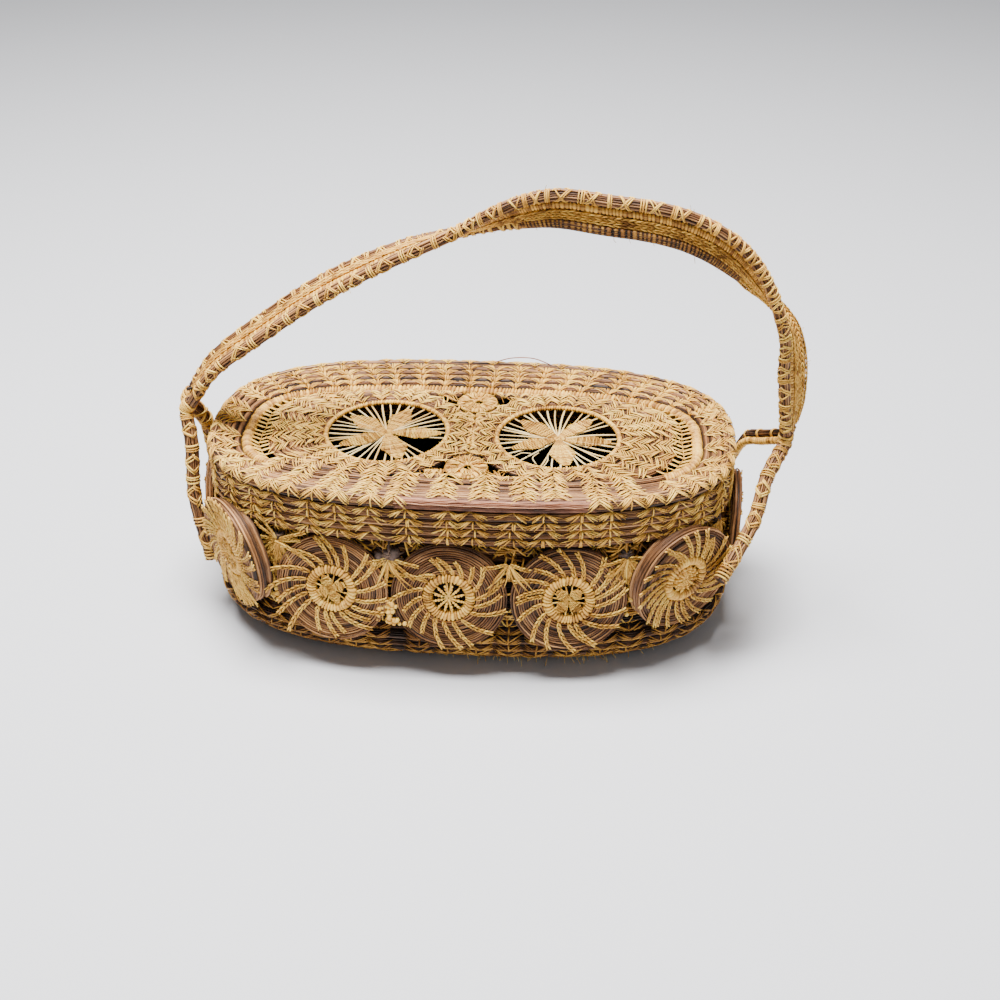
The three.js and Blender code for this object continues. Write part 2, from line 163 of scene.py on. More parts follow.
class Pile:
    """Gathers tubes as arrays and becomes one mesh."""

    def __init__(self):
        self.points = []
        self.corners = []
        self.uvs = []
        self.sizes = []
        self.tones = []
        self.count = 0

    def grid(self, points, tone, along, closed):
        """Tubes as rings: points are tubes by steps by sides by 3, with outward order from the caller."""
        tubes, steps, sides, _ = points.shape
        base = self.count + np.arange(tubes)[:, None, None] * steps * sides
        rows = steps if closed else steps - 1
        i = np.arange(rows)[None, :, None]
        j = (i + 1) % steps
        k = np.arange(sides)[None, None, :]
        m = (k + 1) % sides
        quads = np.stack(
            [base + i * sides + k, base + i * sides + m, base + j * sides + m, base + j * sides + k], -1
        )
        u = np.concatenate([along, along[:, -1:] * (1 + 1.0 / steps)], 1)
        u0 = np.broadcast_to(u[:, :rows, None], quads.shape[:3])
        u1 = np.broadcast_to(u[:, 1 : rows + 1, None], quads.shape[:3])
        v0 = np.broadcast_to(k / sides, quads.shape[:3])
        v1 = v0 + 1 / sides
        uv = np.stack([np.stack(pair, -1) for pair in ((u0, v0), (u0, v1), (u1, v1), (u1, v0))], -2)
        self.points.append(points.reshape(-1, 3))
        self.tones.append(np.broadcast_to(tone, points.shape[:3]).reshape(-1))
        self.corners.append(quads.reshape(-1))
        self.uvs.append(uv.reshape(-1, 2))
        self.sizes.append(np.full(quads.size // 4, 4))
        if not closed:
            flat = base[:, 0, 0]
            ring = np.arange(sides)
            first = flat[:, None] + ring[::-1]
            last = flat[:, None] + (steps - 1) * sides + ring
            caps = np.concatenate([first, last])
            self.corners.append(caps.reshape(-1))
            self.uvs.append(np.tile([[0.0, 0.5]], (caps.size, 1)))
            self.sizes.append(np.full(len(caps), sides))
        self.count += tubes * steps * sides

    def tubes(self, path, side, face, wide, thick, tone, sides=3, closed=False):
        """Tubes with an oval section: half sizes wide along side and thick along face."""
        tubes, steps, _ = path.shape
        hand = (np.cross(side, face) * travel(path, closed)).sum(-1).sum(1)
        side = np.where(hand[:, None, None] < 0, -side, side)
        wide = np.broadcast_to(wide, (tubes, steps))[:, :, None, None]
        thick = np.broadcast_to(thick, (tubes, steps))[:, :, None, None]
        a = np.arange(sides) / sides * TAU + (math.pi / 2 if sides == 3 else 0.0)
        rings = path[:, :, None] + side[:, :, None] * wide * np.cos(a)[None, None, :, None]
        rings = rings + face[:, :, None] * thick * np.sin(a)[None, None, :, None]
        length = np.linalg.norm(np.diff(path, axis=1), axis=-1)
        along = np.concatenate([np.zeros((tubes, 1)), np.cumsum(length, 1)], 1) / 10
        along = along + vary(0, 40, tubes)
        tone = np.asarray(tone, float)
        self.grid(rings, tone.reshape(tone.shape + (1,) * (3 - tone.ndim)), along, closed)

    def strands(self, path, up, wide, thick, tone, sides=3):
        """Free strands: flat along the surface whose normal is up."""
        run = unit(np.gradient(path, axis=1))
        side = unit(np.cross(run, np.broadcast_to(up, path.shape)))
        self.tubes(path, side, np.cross(side, run), wide, thick, tone, sides)

    def balls(self, centres, across, face, radius, tone):
        """Small round knots."""
        lift = np.array([-0.92, -0.4, 0.4, 0.92])
        path = centres[:, None] + face * (radius[:, None] * lift)[..., None]
        side = np.broadcast_to(across, path.shape)
        other = np.broadcast_to(unit(np.cross(face, across)), path.shape)
        ring = radius[:, None] * np.sqrt(1 - lift**2)
        self.tubes(path, side, other, ring, ring, tone, 6)

    def make(self, name, material, body, slot, replaces=()):
        """The mesh in metres, on its body and in place of the solids that it replaces."""
        points = np.concatenate(self.points).astype(np.float32) * 0.001
        corners = np.concatenate(self.corners).astype(np.int32)
        sizes = np.concatenate(self.sizes)
        starts = np.concatenate([[0], np.cumsum(sizes)[:-1]]).astype(np.int32)
        mesh = bpy.data.meshes.new(name)
        mesh.vertices.add(len(points))
        mesh.vertices.foreach_set("co", points.ravel())
        mesh.loops.add(len(corners))
        mesh.loops.foreach_set("vertex_index", corners)
        mesh.polygons.add(len(sizes))
        mesh.polygons.foreach_set("loop_start", starts)
        mesh.polygons.foreach_set("use_smooth", np.ones(len(sizes), bool))
        layer = mesh.uv_layers.new(name="strand")
        layer.data.foreach_set("uv", np.concatenate(self.uvs).astype(np.float32).ravel())
        tone = mesh.attributes.new("tone", "FLOAT", "POINT")
        tone.data.foreach_set("value", np.concatenate(self.tones).astype(np.float32))
        mesh.update(calc_edges=True)
        mesh.validate()
        mesh.materials.append(material)
        piece = bpy.data.objects.new(name, mesh)
        bpy.context.scene.collection.objects.link(piece)
        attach(piece, body)
        if replaces:
            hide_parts(*replaces)


class Row:
    """One coil: its centre line, outward normal, growth direction and radius; wide stretches it sideways."""

    def __init__(self, centre, normal, growth, radius, closed=True, wide=1.0):
        self.centre = centre
        self.normal = np.broadcast_to(normal, centre.shape)
        self.growth = np.broadcast_to(growth, centre.shape)
        self.radius = np.broadcast_to(np.asarray(radius, float), (len(centre),)).copy()
        self.closed = closed
        self.wide = wide
        ends = np.vstack([centre, centre[:1]]) if closed else centre
        self.length = np.linalg.norm(np.diff(ends, axis=0), axis=1).sum()

    def at(self, f):
        """Centre, normal, growth and radius at places from 0 to 1."""
        n = len(self.centre)
        if self.closed:
            i = np.mod(f, 1.0) * n
            a = np.floor(i).astype(int) % n
            b = (a + 1) % n
            w = i - np.floor(i)
        else:
            i = np.clip(f, 0, 1) * (n - 1)
            a = np.minimum(np.floor(i).astype(int), n - 2)
            b = a + 1
            w = i - a
        v = w[..., None]
        centre = mix(self.centre[a], self.centre[b], v)
        normal = unit(mix(self.normal[a], self.normal[b], v))
        wide = np.broadcast_to(self.wide, (n,))
        growth = unit(mix(self.growth[a], self.growth[b], v)) * mix(wide[a], wide[b], w)[..., None]
        return centre, normal, growth, mix(self.radius[a], self.radius[b], w)

    def places(self, steps):
        return np.arange(steps) / steps if self.closed else np.linspace(0, 1, steps)

    def part(self, first, last):
        """The open stretch of this coil between two places."""
        steps = max(8, int(self.length * (last - first) / 1.2))
        centre, normal, growth, radius = self.at(np.linspace(first, last, steps))
        return Row(centre, normal, growth, radius, False, np.linalg.norm(growth, axis=1))


def needles(pile, row, count, size, spread=(-95, 95), pace=4.2, drift=7.0, low=0.0, high=1.0):
    """A bundle of needles: thin tubes side by side over a core in the darkest tone, painted shade; needles
    towards the creases are painted darker as shade.
    """
    steps = max(12, int(row.length / pace))
    centre, normal, growth, radius = row.at(row.places(steps))
    phi = np.linspace(spread[0], spread[1], count) + rng.normal(0, 2.5, count)
    phi = np.radians(phi[:, None] + drift * ripple(count, steps, 9, row.closed))
    reach = radius - size * vary(0.7, 1.3, count) + 0.1 * ripple(count, steps, 12, row.closed)
    face = around(phi, normal, growth)
    path = centre + reach[..., None] * face
    face = unit(face)
    side = unit(np.cross(unit(travel(path, row.closed)), face))
    tone = vary(low, high, count) + 0.16 * ripple(count, steps, 14, row.closed)
    # Painted shade: the needles nearest the two creases are darkened
    if spread[0] > -170:
        tone = tone - 0.5 * np.linspace(-1, 1, count)[:, None] ** 4
    pile.tubes(path, side, face, size, size, np.clip(tone, 0, 1), 3, row.closed)
    # The core takes tone 0, the darkest colour, as painted shade between the needles
    depth = radius - 1.15 * size
    pile.tubes(centre[None], growth[None], normal[None], depth, depth, 0.0, 6, row.closed)


def sew(pile, row, start, lateral, phi, wide, thick, lift, tone):
    """Strands laid over a coil: lateral millimetres along it and phi degrees round it, strands by steps."""
    if not len(start):
        return
    centre, normal, growth, radius = row.at(start[:, None] + lateral / row.length)
    face = around(np.radians(phi), normal, growth)
    path = centre + (radius + lift)[..., None] * face
    face = unit(face)
    side = unit(np.cross(np.gradient(path, axis=1), face))
    pile.tubes(path, side, face, wide, thick, tone)


SPAN = np.linspace(0, 1, 4)
TAPER = np.array([0.7, 1.0, 0.9, 0.25])


INNER_CREASE = -82
OUTER_CREASE = 80


def ferns(pile, row, start, scale, reach, strands, feather, width, steep=(0.5, 0.9), bend=1.0,
          low=0.25, high=1.0, stems=1):
    """Leaf stitches: strands leave the stem at the inner crease and slant out as the coil grows.

    feather starts them one after another along the stem, steep is how far round the coil the first
    and the last of them go, and bend below 1 lets them droop.
    """
    count = len(start)
    if not count:
        return
    scale = scale[:, None]
    span = OUTER_CREASE - INNER_CREASE
    for hand in (-1, 1):
        for k in range(strands):
            part = k / max(1, strands - 1)
            begin = INNER_CREASE + 0.5 * feather * part * span + jitter(3, count)
            drop = mix(steep[0], steep[1], part) * span
            end = np.minimum(begin + drop, OUTER_CREASE + 8) + jitter(4, count)
            far = reach * scale * (1 - 0.4 * part * (1 - feather)) * vary(0.86, 1.1, count)
            lateral = hand * (0.1 + far * SPAN) + jitter(0.12, count)
            phi = begin + (end - begin) * SPAN ** (bend * vary(0.85, 1.15, count))
            here = rng.uniform(0, 1, count) > 0.05
            wide = width * vary(0.75, 1.2, count) * TAPER
            tone = rng.uniform(low, high, count)
            sew(pile, row, start[here], lateral[here], phi[here], wide[here], 0.24, 0.1 + 0.1 * k, tone[here])
    for _ in range(stems):
        here = rng.uniform(0, 1, count) > 0.4
        lateral = jitter(0.35, count) + jitter(0.35, count) * SPAN
        phi = INNER_CREASE + span * SPAN + jitter(5, count)
        tone = rng.uniform(low, high, count)
        sew(pile, row, start[here], lateral[here], phi[here], width, 0.24, 0.4, tone[here])


CARET = dict(reach=7.2, strands=4, feather=0.0, width=0.42, steep=(0.42, 0.75), stems=2)
EDGE = dict(reach=5.0, strands=5, feather=0.9, width=0.38, steep=(0.55, 0.55), low=0.35)
ARCH = dict(reach=5.8, strands=4, feather=0.25, width=0.38, steep=(0.6, 0.9), bend=0.7,
            low=0.2, high=0.9, stems=4)
LACE = dict(reach=4.8, strands=4, feather=0.3, width=0.36, steep=(0.7, 0.95), bend=0.8, low=0.3)
# Chevron stitches take only the dark tones, painted shade for the low part of the bag
CHEVRON = dict(reach=6.4, strands=4, feather=0.9, width=0.42, steep=(0.55, 0.55), low=0.0, high=0.35)
PLAIN = dict(reach=5.2, strands=2, feather=0.3, width=0.46)


def ears(pile, surface, stems, first, last, step, reach, rise, width):
    """Wheat ears: arms leave each stem in pairs, one after another, and slant out as the rows grow.

    surface turns places along and across the rows and a lift into points; first and last bound each stem.
    """
    start = []
    for stem, low_end, high_end in zip(stems, first, last):
        grown = np.arange(low_end, high_end, step)
        start.append(np.column_stack([np.full(len(grown), stem), grown]))
    start = np.concatenate(start)
    count = len(start)
    for hand in (-1, 1):
        lateral = start[:, :1] + hand * (0.1 + reach * vary(0.8, 1.15, count) * SPAN)
        lateral = lateral + jitter(0.2, count)
        grown = start[:, 1:] + rise * vary(0.75, 1.15, count) * SPAN + jitter(0.3, count)
        path = surface(lateral, grown, 0.1 + vary(0, 0.35, count) + 0.25 * np.sin(math.pi * SPAN))
        here = rng.uniform(0, 1, count) > 0.05
        wide = width * vary(0.75, 1.2, count) * TAPER
        pile.strands(path[here], UP, wide[here], 0.26, rng.uniform(0.5, 1.0, count)[here])


def bound(pile, row, pitch, bulge, sides, low, high):
    """A tube closely wrapped with raffia: each turn swells and the next starts in a crease; the creases are
    painted darker as shade.
    """
    turns = max(6, int(round(row.length / pitch)))
    edges = np.concatenate([[0], np.cumsum(rng.uniform(0.7, 1.3, turns))])
    edges = edges / edges[-1]
    place = np.array([0.03, 0.32, 0.68, 0.97])
    f = (edges[:-1, None] + np.diff(edges)[:, None] * place).ravel()
    swell = np.tile([0.0, 1.0, 1.0, 0.0], turns)
    centre, normal, growth, radius = row.at(f)
    run = unit(np.roll(centre, -1, 0) - centre)
    flip = -1.0 if (np.cross(growth, normal) * run).sum(1)[:-1].sum() < 0 else 1.0
    a = np.arange(sides) / sides * TAU
    turn = np.repeat(np.arange(turns), len(place))
    size = radius * (1 - bulge + bulge * swell * rng.uniform(0.7, 1.15, turns)[turn])
    lean = 0.2 * pitch * rng.uniform(0.5, 1.5, turns)[turn]
    rings = centre[:, None] + flip * growth[:, None] * (size[:, None] * np.cos(a))[..., None]
    rings = rings + normal[:, None] * (size[:, None] * np.sin(a))[..., None]
    rings[1:-1] += (run[:, None] * (lean[:, None] * np.cos(a))[..., None])[1:-1]
    # Painted shade: each turn is darker at its ends, in the creases
    tone = rng.uniform(low, high, turns)[turn] - 0.4 * (1 - swell)
    pile.grid(rings[None], np.clip(tone, 0, 1)[None, :, None], (f * row.length / 10)[None], row.closed)


def crosses(pile, row, start, reach, width, middle):
    """Slanted pairs of strands both ways over a coil, so that they cross at middle degrees."""
    u = np.linspace(-1, 1, 8)
    count = len(start)
    for hand in (-1, 1):
        for k in (-0.5, 0.5):
            shift = k * 1.9 * width + jitter(0.2, count)
            lateral = shift + hand * reach * u * vary(0.85, 1.1, count)
            phi = middle + 100 * u + jitter(4, count)
            wide = width * vary(0.75, 1.2, count)
            sew(pile, row, start, lateral, phi, wide, 0.3, 0.12 + 0.08 * hand, rng.uniform(0.3, 1, count))


def bands(pile, row, start, strands, width):
    """Short wraps right round a coil, a few strands side by side."""
    u = np.linspace(-1, 1, 13)
    count = len(start)
    tilt = jitter(0.5, count) * u
    for k in range(strands):
        lateral = (k - 0.5 * (strands - 1)) * 1.85 * width + tilt + jitter(0.1, count)
        phi = 180 * u + vary(140, 220, count)
        wide = width * vary(0.8, 1.15, count)
        lift = 0.12 + rng.uniform(0, 0.12)
        sew(pile, row, start, lateral, phi, wide, 0.28, lift, rng.uniform(0.35, 1, count))


# Outlines
def oval(a, b, power, count):
    """Points spaced evenly by length round an oval, from the middle of the front, with outward directions."""
    t = np.linspace(-math.pi / 2, 1.5 * math.pi, 8001)
    x = a * np.sign(np.cos(t)) * np.abs(np.cos(t)) ** (2 / power)
    y = b * np.sign(np.sin(t)) * np.abs(np.sin(t)) ** (2 / power)
    run = np.concatenate([[0], np.cumsum(np.hypot(np.diff(x), np.diff(y)))])
    place = np.arange(count) / count * run[-1]
    xy = np.stack([np.interp(place, run, x), np.interp(place, run, y)], 1)
    tangent = unit(np.roll(xy, -1, 0) - np.roll(xy, 1, 0))
    return xy, np.stack([tangent[:, 1], -tangent[:, 0]], 1)


def lift_to(xy, z):
    return np.column_stack([xy, np.broadcast_to(z, len(xy))])


def ring_row(a, b, power, z, tilt, radius):
    """Closed coil on an oval: tilt 0 faces up and grows outward, tilt 90 faces outward and grows down."""
    xy, out = oval(a, b, power, SAMPLES)
    out = lift_to(out, 0)
    t = math.radians(tilt)
    normal = out * math.sin(t) + UP * math.cos(t)
    growth = out * math.cos(t) - UP * math.sin(t)
    return Row(lift_to(xy, z), normal, growth, radius)


def inset_row(inset, z, tilt, radius):
    """Closed coil that keeps a distance inside the bag's outline."""
    return ring_row(LONG - inset, WIDE - inset, OVAL, z, tilt, radius)


def round_row(centre, across, up, face, reach, radius, offset=0.0):
    """Closed coil round a centre in a plane, facing out of the plane and growing outward."""
    t = np.arange(SAMPLES // 3) / (SAMPLES // 3) * TAU
    out = around(t, across, up)
    return Row(centre + offset * face + reach * out, face, out, radius)


def columns(count, loose):
    """Places of stitch columns round a coil, a little uneven, and how large their stitches are."""
    return (np.arange(count) + 0.5 + rng.normal(0, loose, count)) / count, rng.uniform(0.9, 1.15, count)


LEAF = np.array([0.55, 1.0, 0.95, 0.3])


def plait(pile, path, face, links, half, wide, low, high):
    """Chain stitches along lines: each link is a pair of short strands that open outward like a wheat ear."""
    arms, steps, _ = path.shape
    face = np.broadcast_to(face, path.shape)
    side = unit(np.cross(unit(travel(path)), face))
    u = np.minimum((np.arange(links)[:, None] + 1.3 * SPAN) / links, 1) * (steps - 1)
    i = np.minimum(u.astype(int), steps - 2)
    w = (u - i)[..., None]
    at = mix(path[:, i], path[:, i + 1], w)
    across = mix(side[:, i], side[:, i + 1], w)
    up = mix(face[:, i], face[:, i + 1], w)
    height = 0.12 + 0.34 * np.sin(math.pi * (0.1 + 0.8 * SPAN))
    for hand in (-1, 1):
        lateral = hand * (0.08 + half * SPAN**0.75) * rng.uniform(0.75, 1.2, (arms, links, 1))
        line = at + across * lateral[..., None] + up * height[:, None]
        tone = rng.uniform(low, high, arms * links)
        pile.strands(line.reshape(-1, 4, 3), up.reshape(-1, 4, 3), wide * LEAF, 0.36, tone)


def star(spokes, weave, centre, across, up, face, reach, count, petals, gaps, pitch, size):
    """Spokes across a ring, woven into petals: a petal is its heading in degrees, length and half width."""
    angle = (np.arange(count) + 0.5) / count * 360
    lost = np.zeros(count, bool)
    for low, high in gaps:
        lost |= (angle >= low) & (angle <= high)
    theta = np.radians(angle[~lost] + rng.normal(0, 0.12 * 360 / count, (~lost).sum()))
    arc = np.sin(np.linspace(0, math.pi, 6))
    turn = theta[:, None] + np.radians(1.6) * rng.normal(0, 1, (len(theta), 1)) * arc
    bow = 0.012 * reach * rng.normal(0, 1, (len(theta), 1)) * arc
    out = around(turn, across, up)
    path = centre + out * np.linspace(0.05 * reach, reach, 6)[None, :, None] + bow[..., None] * face
    wide = size * rng.uniform(0.8, 1.15, (len(theta), 1))
    spokes.strands(path, face, wide, 0.8 * wide, rng.uniform(0.3, 1, len(theta)), 4)
    for heading, length, half in petals:
        h = math.radians(heading)
        axis = math.cos(h) * across + math.sin(h) * up
        cross = math.cos(h) * up - math.sin(h) * across
        rows = int(length * reach / pitch)
        s = (np.arange(rows) + 1) / rows
        far = s * length * reach
        narrow = 1 - 0.75 * (np.maximum(s - 0.55, 0) / 0.45) ** 1.2
        leaf = np.where(s < 0.55, 0.1 + 0.9 * (s / 0.55) ** 0.95, narrow)
        step = np.repeat(rng.uniform(0.86, 1.08, rows // 3 + 1), 3)[:rows]
        broad = np.minimum(half * reach * leaf * step, 0.7 * far + 0.2)[:, None]
        x = np.linspace(-1, 1, 9)
        wave = np.cos(math.pi * broad * x / (far * TAU / count)[:, None] + math.pi * np.arange(rows)[:, None])
        lift = (0.55 + 0.2 * wave)[..., None]
        path = centre + axis * far[:, None, None] + cross * (broad * x)[..., None] + face * lift
        weave.strands(path, face, 0.56 * pitch, 0.26, rng.uniform(0.15, 1, rows))


# Materials
def material(name, dark, middle, light, rough, grain, bump):
    """Strand material: tone picks the colour, streaks run along the strand and slow patches age it."""
    made = bpy.data.materials.new(name)
    made.use_nodes = True
    tree = made.node_tree

    def feed(node, inputs):
        for key, value in inputs.items():
            if isinstance(value, bpy.types.NodeSocket):
                tree.links.new(value, node.inputs[key])
            else:
                node.inputs[key].default_value = value

    def add(kind, result, inputs):
        node = tree.nodes.new("ShaderNode" + kind)
        feed(node, inputs)
        return node, node.outputs[result]

    strand_tone, tone = add("Attribute", "Fac", {})
    strand_tone.attribute_name = "tone"
    strand_map, uv = add("UVMap", "UV", {})
    strand_map.uv_map = "strand"
    _, stretched = add("Mapping", "Vector", {"Vector": uv, "Scale": (1.6, grain, 1.0)})
    _, fibre = add("TexNoise", "Fac", {"Vector": stretched, "Scale": 2.2, "Detail": 4.0, "Roughness": 0.62})
    _, place = add("TexCoord", "Object", {})
    _, patch = add("TexNoise", "Fac", {"Vector": place, "Scale": 55.0, "Detail": 3.0})
    streak_range = {"From Min": 0.28, "From Max": 0.72, "To Min": -0.24, "To Max": 0.24}
    _, streak = add("MapRange", "Result", {"Value": fibre, **streak_range})
    age_range = {"From Min": 0.3, "From Max": 0.7, "To Min": -0.2, "To Max": 0.16}
    _, age = add("MapRange", "Result", {"Value": patch, **age_range})
    _, streaked = add("Math", "Value", {0: tone, 1: streak})
    sum_node, aged = add("Math", "Value", {0: streaked, 1: age})
    sum_node.use_clamp = True
    ramp, colour = add("ValToRGB", "Color", {"Fac": aged})
    ramp.color_ramp.elements[0].color = linear(*dark)
    ramp.color_ramp.elements[1].color = linear(*light)
    ramp.color_ramp.elements.new(0.5).color = linear(*middle)
    _, gloss = add("MapRange", "Result", {"Value": fibre, "To Min": rough + 0.12, "To Max": rough - 0.12})
    _, relief = add("Bump", "Normal", {"Strength": bump, "Distance": 0.0003, "Height": fibre})
    surface = {"Base Color": colour, "Roughness": gloss, "Normal": relief, "Specular IOR Level": 0.35}
    feed(tree.nodes["Principled BSDF"], surface)
    return made


NEEDLE = material("needle", (38, 22, 10), (130, 86, 50), (206, 152, 98), 0.5, 9.0, 0.5)
RED = material("needle_red", (58, 32, 20), (146, 92, 64), (208, 150, 112), 0.48, 9.0, 0.5)
# Needle colours painted near black as shade, for insides, linings and backings that stand only in shade
SHADE = material("needle_painted_shade", (12, 8, 6), (30, 19, 13), (64, 42, 28), 0.6, 9.0, 0.5)
RAFFIA = material("raffia", (130, 82, 26), (228, 170, 72), (255, 213, 104), 0.56, 7.0, 0.6)
PALE = material("raffia_pale", (196, 148, 78), (244, 206, 132), (255, 234, 178), 0.58, 7.0, 0.5)
# Dark raffia for the knots and the strap's stub
TIE = material("raffia_dark", (36, 25, 19), (92, 71, 60), (156, 125, 98), 0.62, 7.0, 0.6)

# Camera at the photograph's place
eye = bpy.data.cameras.new("camera")
eye.sensor_width = 36.0
eye.lens = 50.4
camera = bpy.data.objects.new("camera", eye)
camera.location = (0.0516, -0.5347, 0.3935)
camera.rotation_euler = (math.radians(57.3), 0.0, math.radians(4.2))
bpy.context.scene.collection.objects.link(camera)
bpy.context.scene.camera = camera


# Lid: side band, edge and top rows round the wrapped hoop
def lid_outline(g):
    a = mix(LONG, HOOP_LONG + HOOP_TUBE + 0.35, g)
    b = mix(WIDE, HOOP_WIDE + HOOP_TUBE + 0.35, g)
    return a, b, mix(OVAL, HOOP_OVAL, g)


def crown(g):
    return LID_TOP - 3.6 * max(0.0, g - 0.1) / 0.9


def nudge(places, amount):
    return places + rng.normal(0, amount, len(places))


def bare_front(points):
    """Whether points lie where the front edge of the lid has lost its stitches."""
    return (points[:, 1] < 0) & (points[:, 0] > -22) & (points[:, 0] < 52)


LID_COLUMNS, LID_SIZES = columns(42, 0.09)
TOP_COLUMNS, TOP_SIZES = columns(48, 0.07)
lid_needles = Pile()
band_stitches = Pile()
for k in range(4):
    row = inset_row(2.1, BAND_BOTTOM + SIDE_STEP * (3.5 - k), 90, 2.0)
    needles(lid_needles, row, 8, 0.46, (-92, 92), 5.4, 7.0, 0.25, 1.0)
    ferns(band_stitches, row, nudge(LID_COLUMNS, 0.0008), LID_SIZES, **CARET)
edge = inset_row(2.5, LID_TOP - 2.55, 45, 2.5)
EDGE_COLUMNS, EDGE_SIZES = columns(56, 0.1)
sewn = ~bare_front(edge.at(EDGE_COLUMNS)[0])
bare = Pile()
needles(bare, edge.part(-0.045, 0.095), 14, 0.46, (-115, 115), 2.8, 9.0, 0.0, 0.85)
needles(lid_needles, edge.part(0.094, 0.956), 13, 0.48, (-115, 115), 3.6, 9.0, 0.1, 1.0)
ferns(band_stitches, edge, EDGE_COLUMNS[sewn], EDGE_SIZES[sewn], **EDGE)
top_stitches = Pile()
for k in range(4):
    g = 0.3 + 0.2 * k
    a, b, power = lid_outline(g)
    row = ring_row(a, b, power, 0.0, 0, 2.05)
    ends = np.clip((np.abs(row.centre[:, 0]) - 55) / 45, 0, 1)
    row.radius = mix(2.05, 1.5, ends * ends * (3 - 2 * ends))
    row.centre[:, 2] = crown(g) - row.radius
    needles(lid_needles, row, 8, 0.44, (-95, 95), 5.0, 7.0, 0.15, 0.85)
    back = row.at(TOP_COLUMNS)[0][:, 1] > 22
    ferns(top_stitches, row, nudge(TOP_COLUMNS[back], 0.0008), TOP_SIZES[back], **ARCH)
LID_OUTER = ring_row(*lid_outline(0.0), 0.0, 0, 1.0)
LID_INNER = ring_row(*lid_outline(1.0), 0.0, 0, 1.0)
across = LID_OUTER.centre[:, None] - LID_INNER.centre
LID_WIDTH = np.linalg.norm(across, axis=-1).min(1)


def lid_width(along):
    return np.interp(along / LID_OUTER.length, np.arange(SAMPLES) / SAMPLES, LID_WIDTH, period=1.0)


def lid_surface(along, grown, lift):
    """Point on the lid's top: millimetres along the outline and millimetres out from the hoop."""
    outer, _, out, _ = LID_OUTER.at(along / LID_OUTER.length)
    width = lid_width(along)
    g = np.clip(1 - grown / width, 0.01, 1.6)
    point = outer - out * (g * width)[..., None]
    top = np.maximum(LID_TOP - 4.0 * np.maximum(0, g - 0.1), DISC_TOP + 0.2)
    point[..., 2] = top - 0.3 + 0.4 * np.cos(TAU * (g - 0.3) / 0.2) + lift
    inset = np.minimum(g * width, 2.5)
    point[..., 2] -= 2.55 - np.sqrt(np.maximum(0, 2.55**2 - (2.5 - inset) ** 2))
    return point


many, _ = columns(49, 0.1)
few, _ = columns(37, 0.1)
x, y, _ = LID_OUTER.at(many)[0].T
many = many[(y < 34) & ((y > 0) | (np.abs(x) > 82))]
x, y, _ = LID_OUTER.at(few)[0].T
stems = np.concatenate([few[(y < 0) & (np.abs(x) < 78)], many])
outer = LID_OUTER.at(stems)[0]
stem_along = stems * LID_OUTER.length
begin = np.where((outer[:, 1] < 0) & (np.abs(outer[:, 0]) < 90), -8.5, 0.2)
end = lid_width(stem_along) - np.where(bare_front(outer), 6.8, 4.6)
ears(top_stitches, lid_surface, stem_along, begin, end, 1.25, 6.0, 5.2, 0.44)
lid_needles.make("lid_coil_needles", NEEDLE, "lid", "needle", ["lid_coil"])
stray = catmull([(4, WIDE - 3, 87.6), (13, WIDE - 2, 90.2), (24, WIDE - 2, 90.4), (33, WIDE - 3, 87.4)], 16)
bare.strands(stray[None], UP, 0.3, 0.3, 0.4)
bare.make("lid_edge_needles", RED, "lid", "needle")
band_stitches.make("lid_band_stitches", RAFFIA, "lid", "raffia")

# Hoop: wrapped at the back and the ends, and sewn over like the other coils along the front
hoop = ring_row(HOOP_LONG, HOOP_WIDE, HOOP_OVAL, HOOP_Z, 0, HOOP_TUBE)
covered = (hoop.centre[:, 1] < 0) & (np.abs(hoop.centre[:, 0]) < 84)
share = 0.5 * covered.mean()
hoop_wrap = Pile()
wrapped = hoop.part(share, 1 - share)
wrapped.radius = wrapped.radius + 0.25
bound(hoop_wrap, wrapped, 1.6, 0.3, 10, 0.1, 0.75)
hoop_wrap.make("lid_hoop_wrap", RAFFIA, "lid", "raffia", ["lid_hoop"])
front = hoop.part(1 - share, 1 + share)
hoop_front = Pile()
needles(hoop_front, front, 8, 0.44, (-95, 95), 4.2, 7.0, 0.15, 0.85)
hoop_front.make("lid_hoop_front", NEEDLE, "lid", "needle")
top_stitches.make("lid_top_stitches", RAFFIA, "lid", "raffia")


# Lid discs round the two openings, with more coils out to the open net along the hoop
DISC_MIDDLE = 0.5 * (DISC_TOP + DISC_LOW)
DISC_COIL = 0.5 * (DISC_TOP - DISC_LOW)
INNER = HOLE + 1.7
COIL_STEP = 4.0
HOOP_XY, _ = oval(HOOP_LONG, HOOP_WIDE, HOOP_OVAL, 400)
turn = np.radians(np.linspace(-78, 78, 157))
reach = np.full(157, DISC_EDGE)
for _ in range(240):
    x = DISC_X + (reach + 0.1) * np.cos(turn)
    y = (reach + 0.1) * np.sin(turn)
    hoop_gap = np.hypot(HOOP_XY[:, :1] - x, HOOP_XY[:, 1:] - y).min(0)
    reach = reach + 0.1 * (hoop_gap > HOOP_TUBE + 0.7 + NET_WIDTH * np.maximum(0, 1 - (y / NET_HALF) ** 2))
NET_EDGE = np.column_stack([DISC_X + reach * np.cos(turn), reach * np.sin(turn)])
net_run = unit(np.gradient(NET_EDGE, axis=0))
net_out = np.column_stack([net_run[:, 1], -net_run[:, 0]])
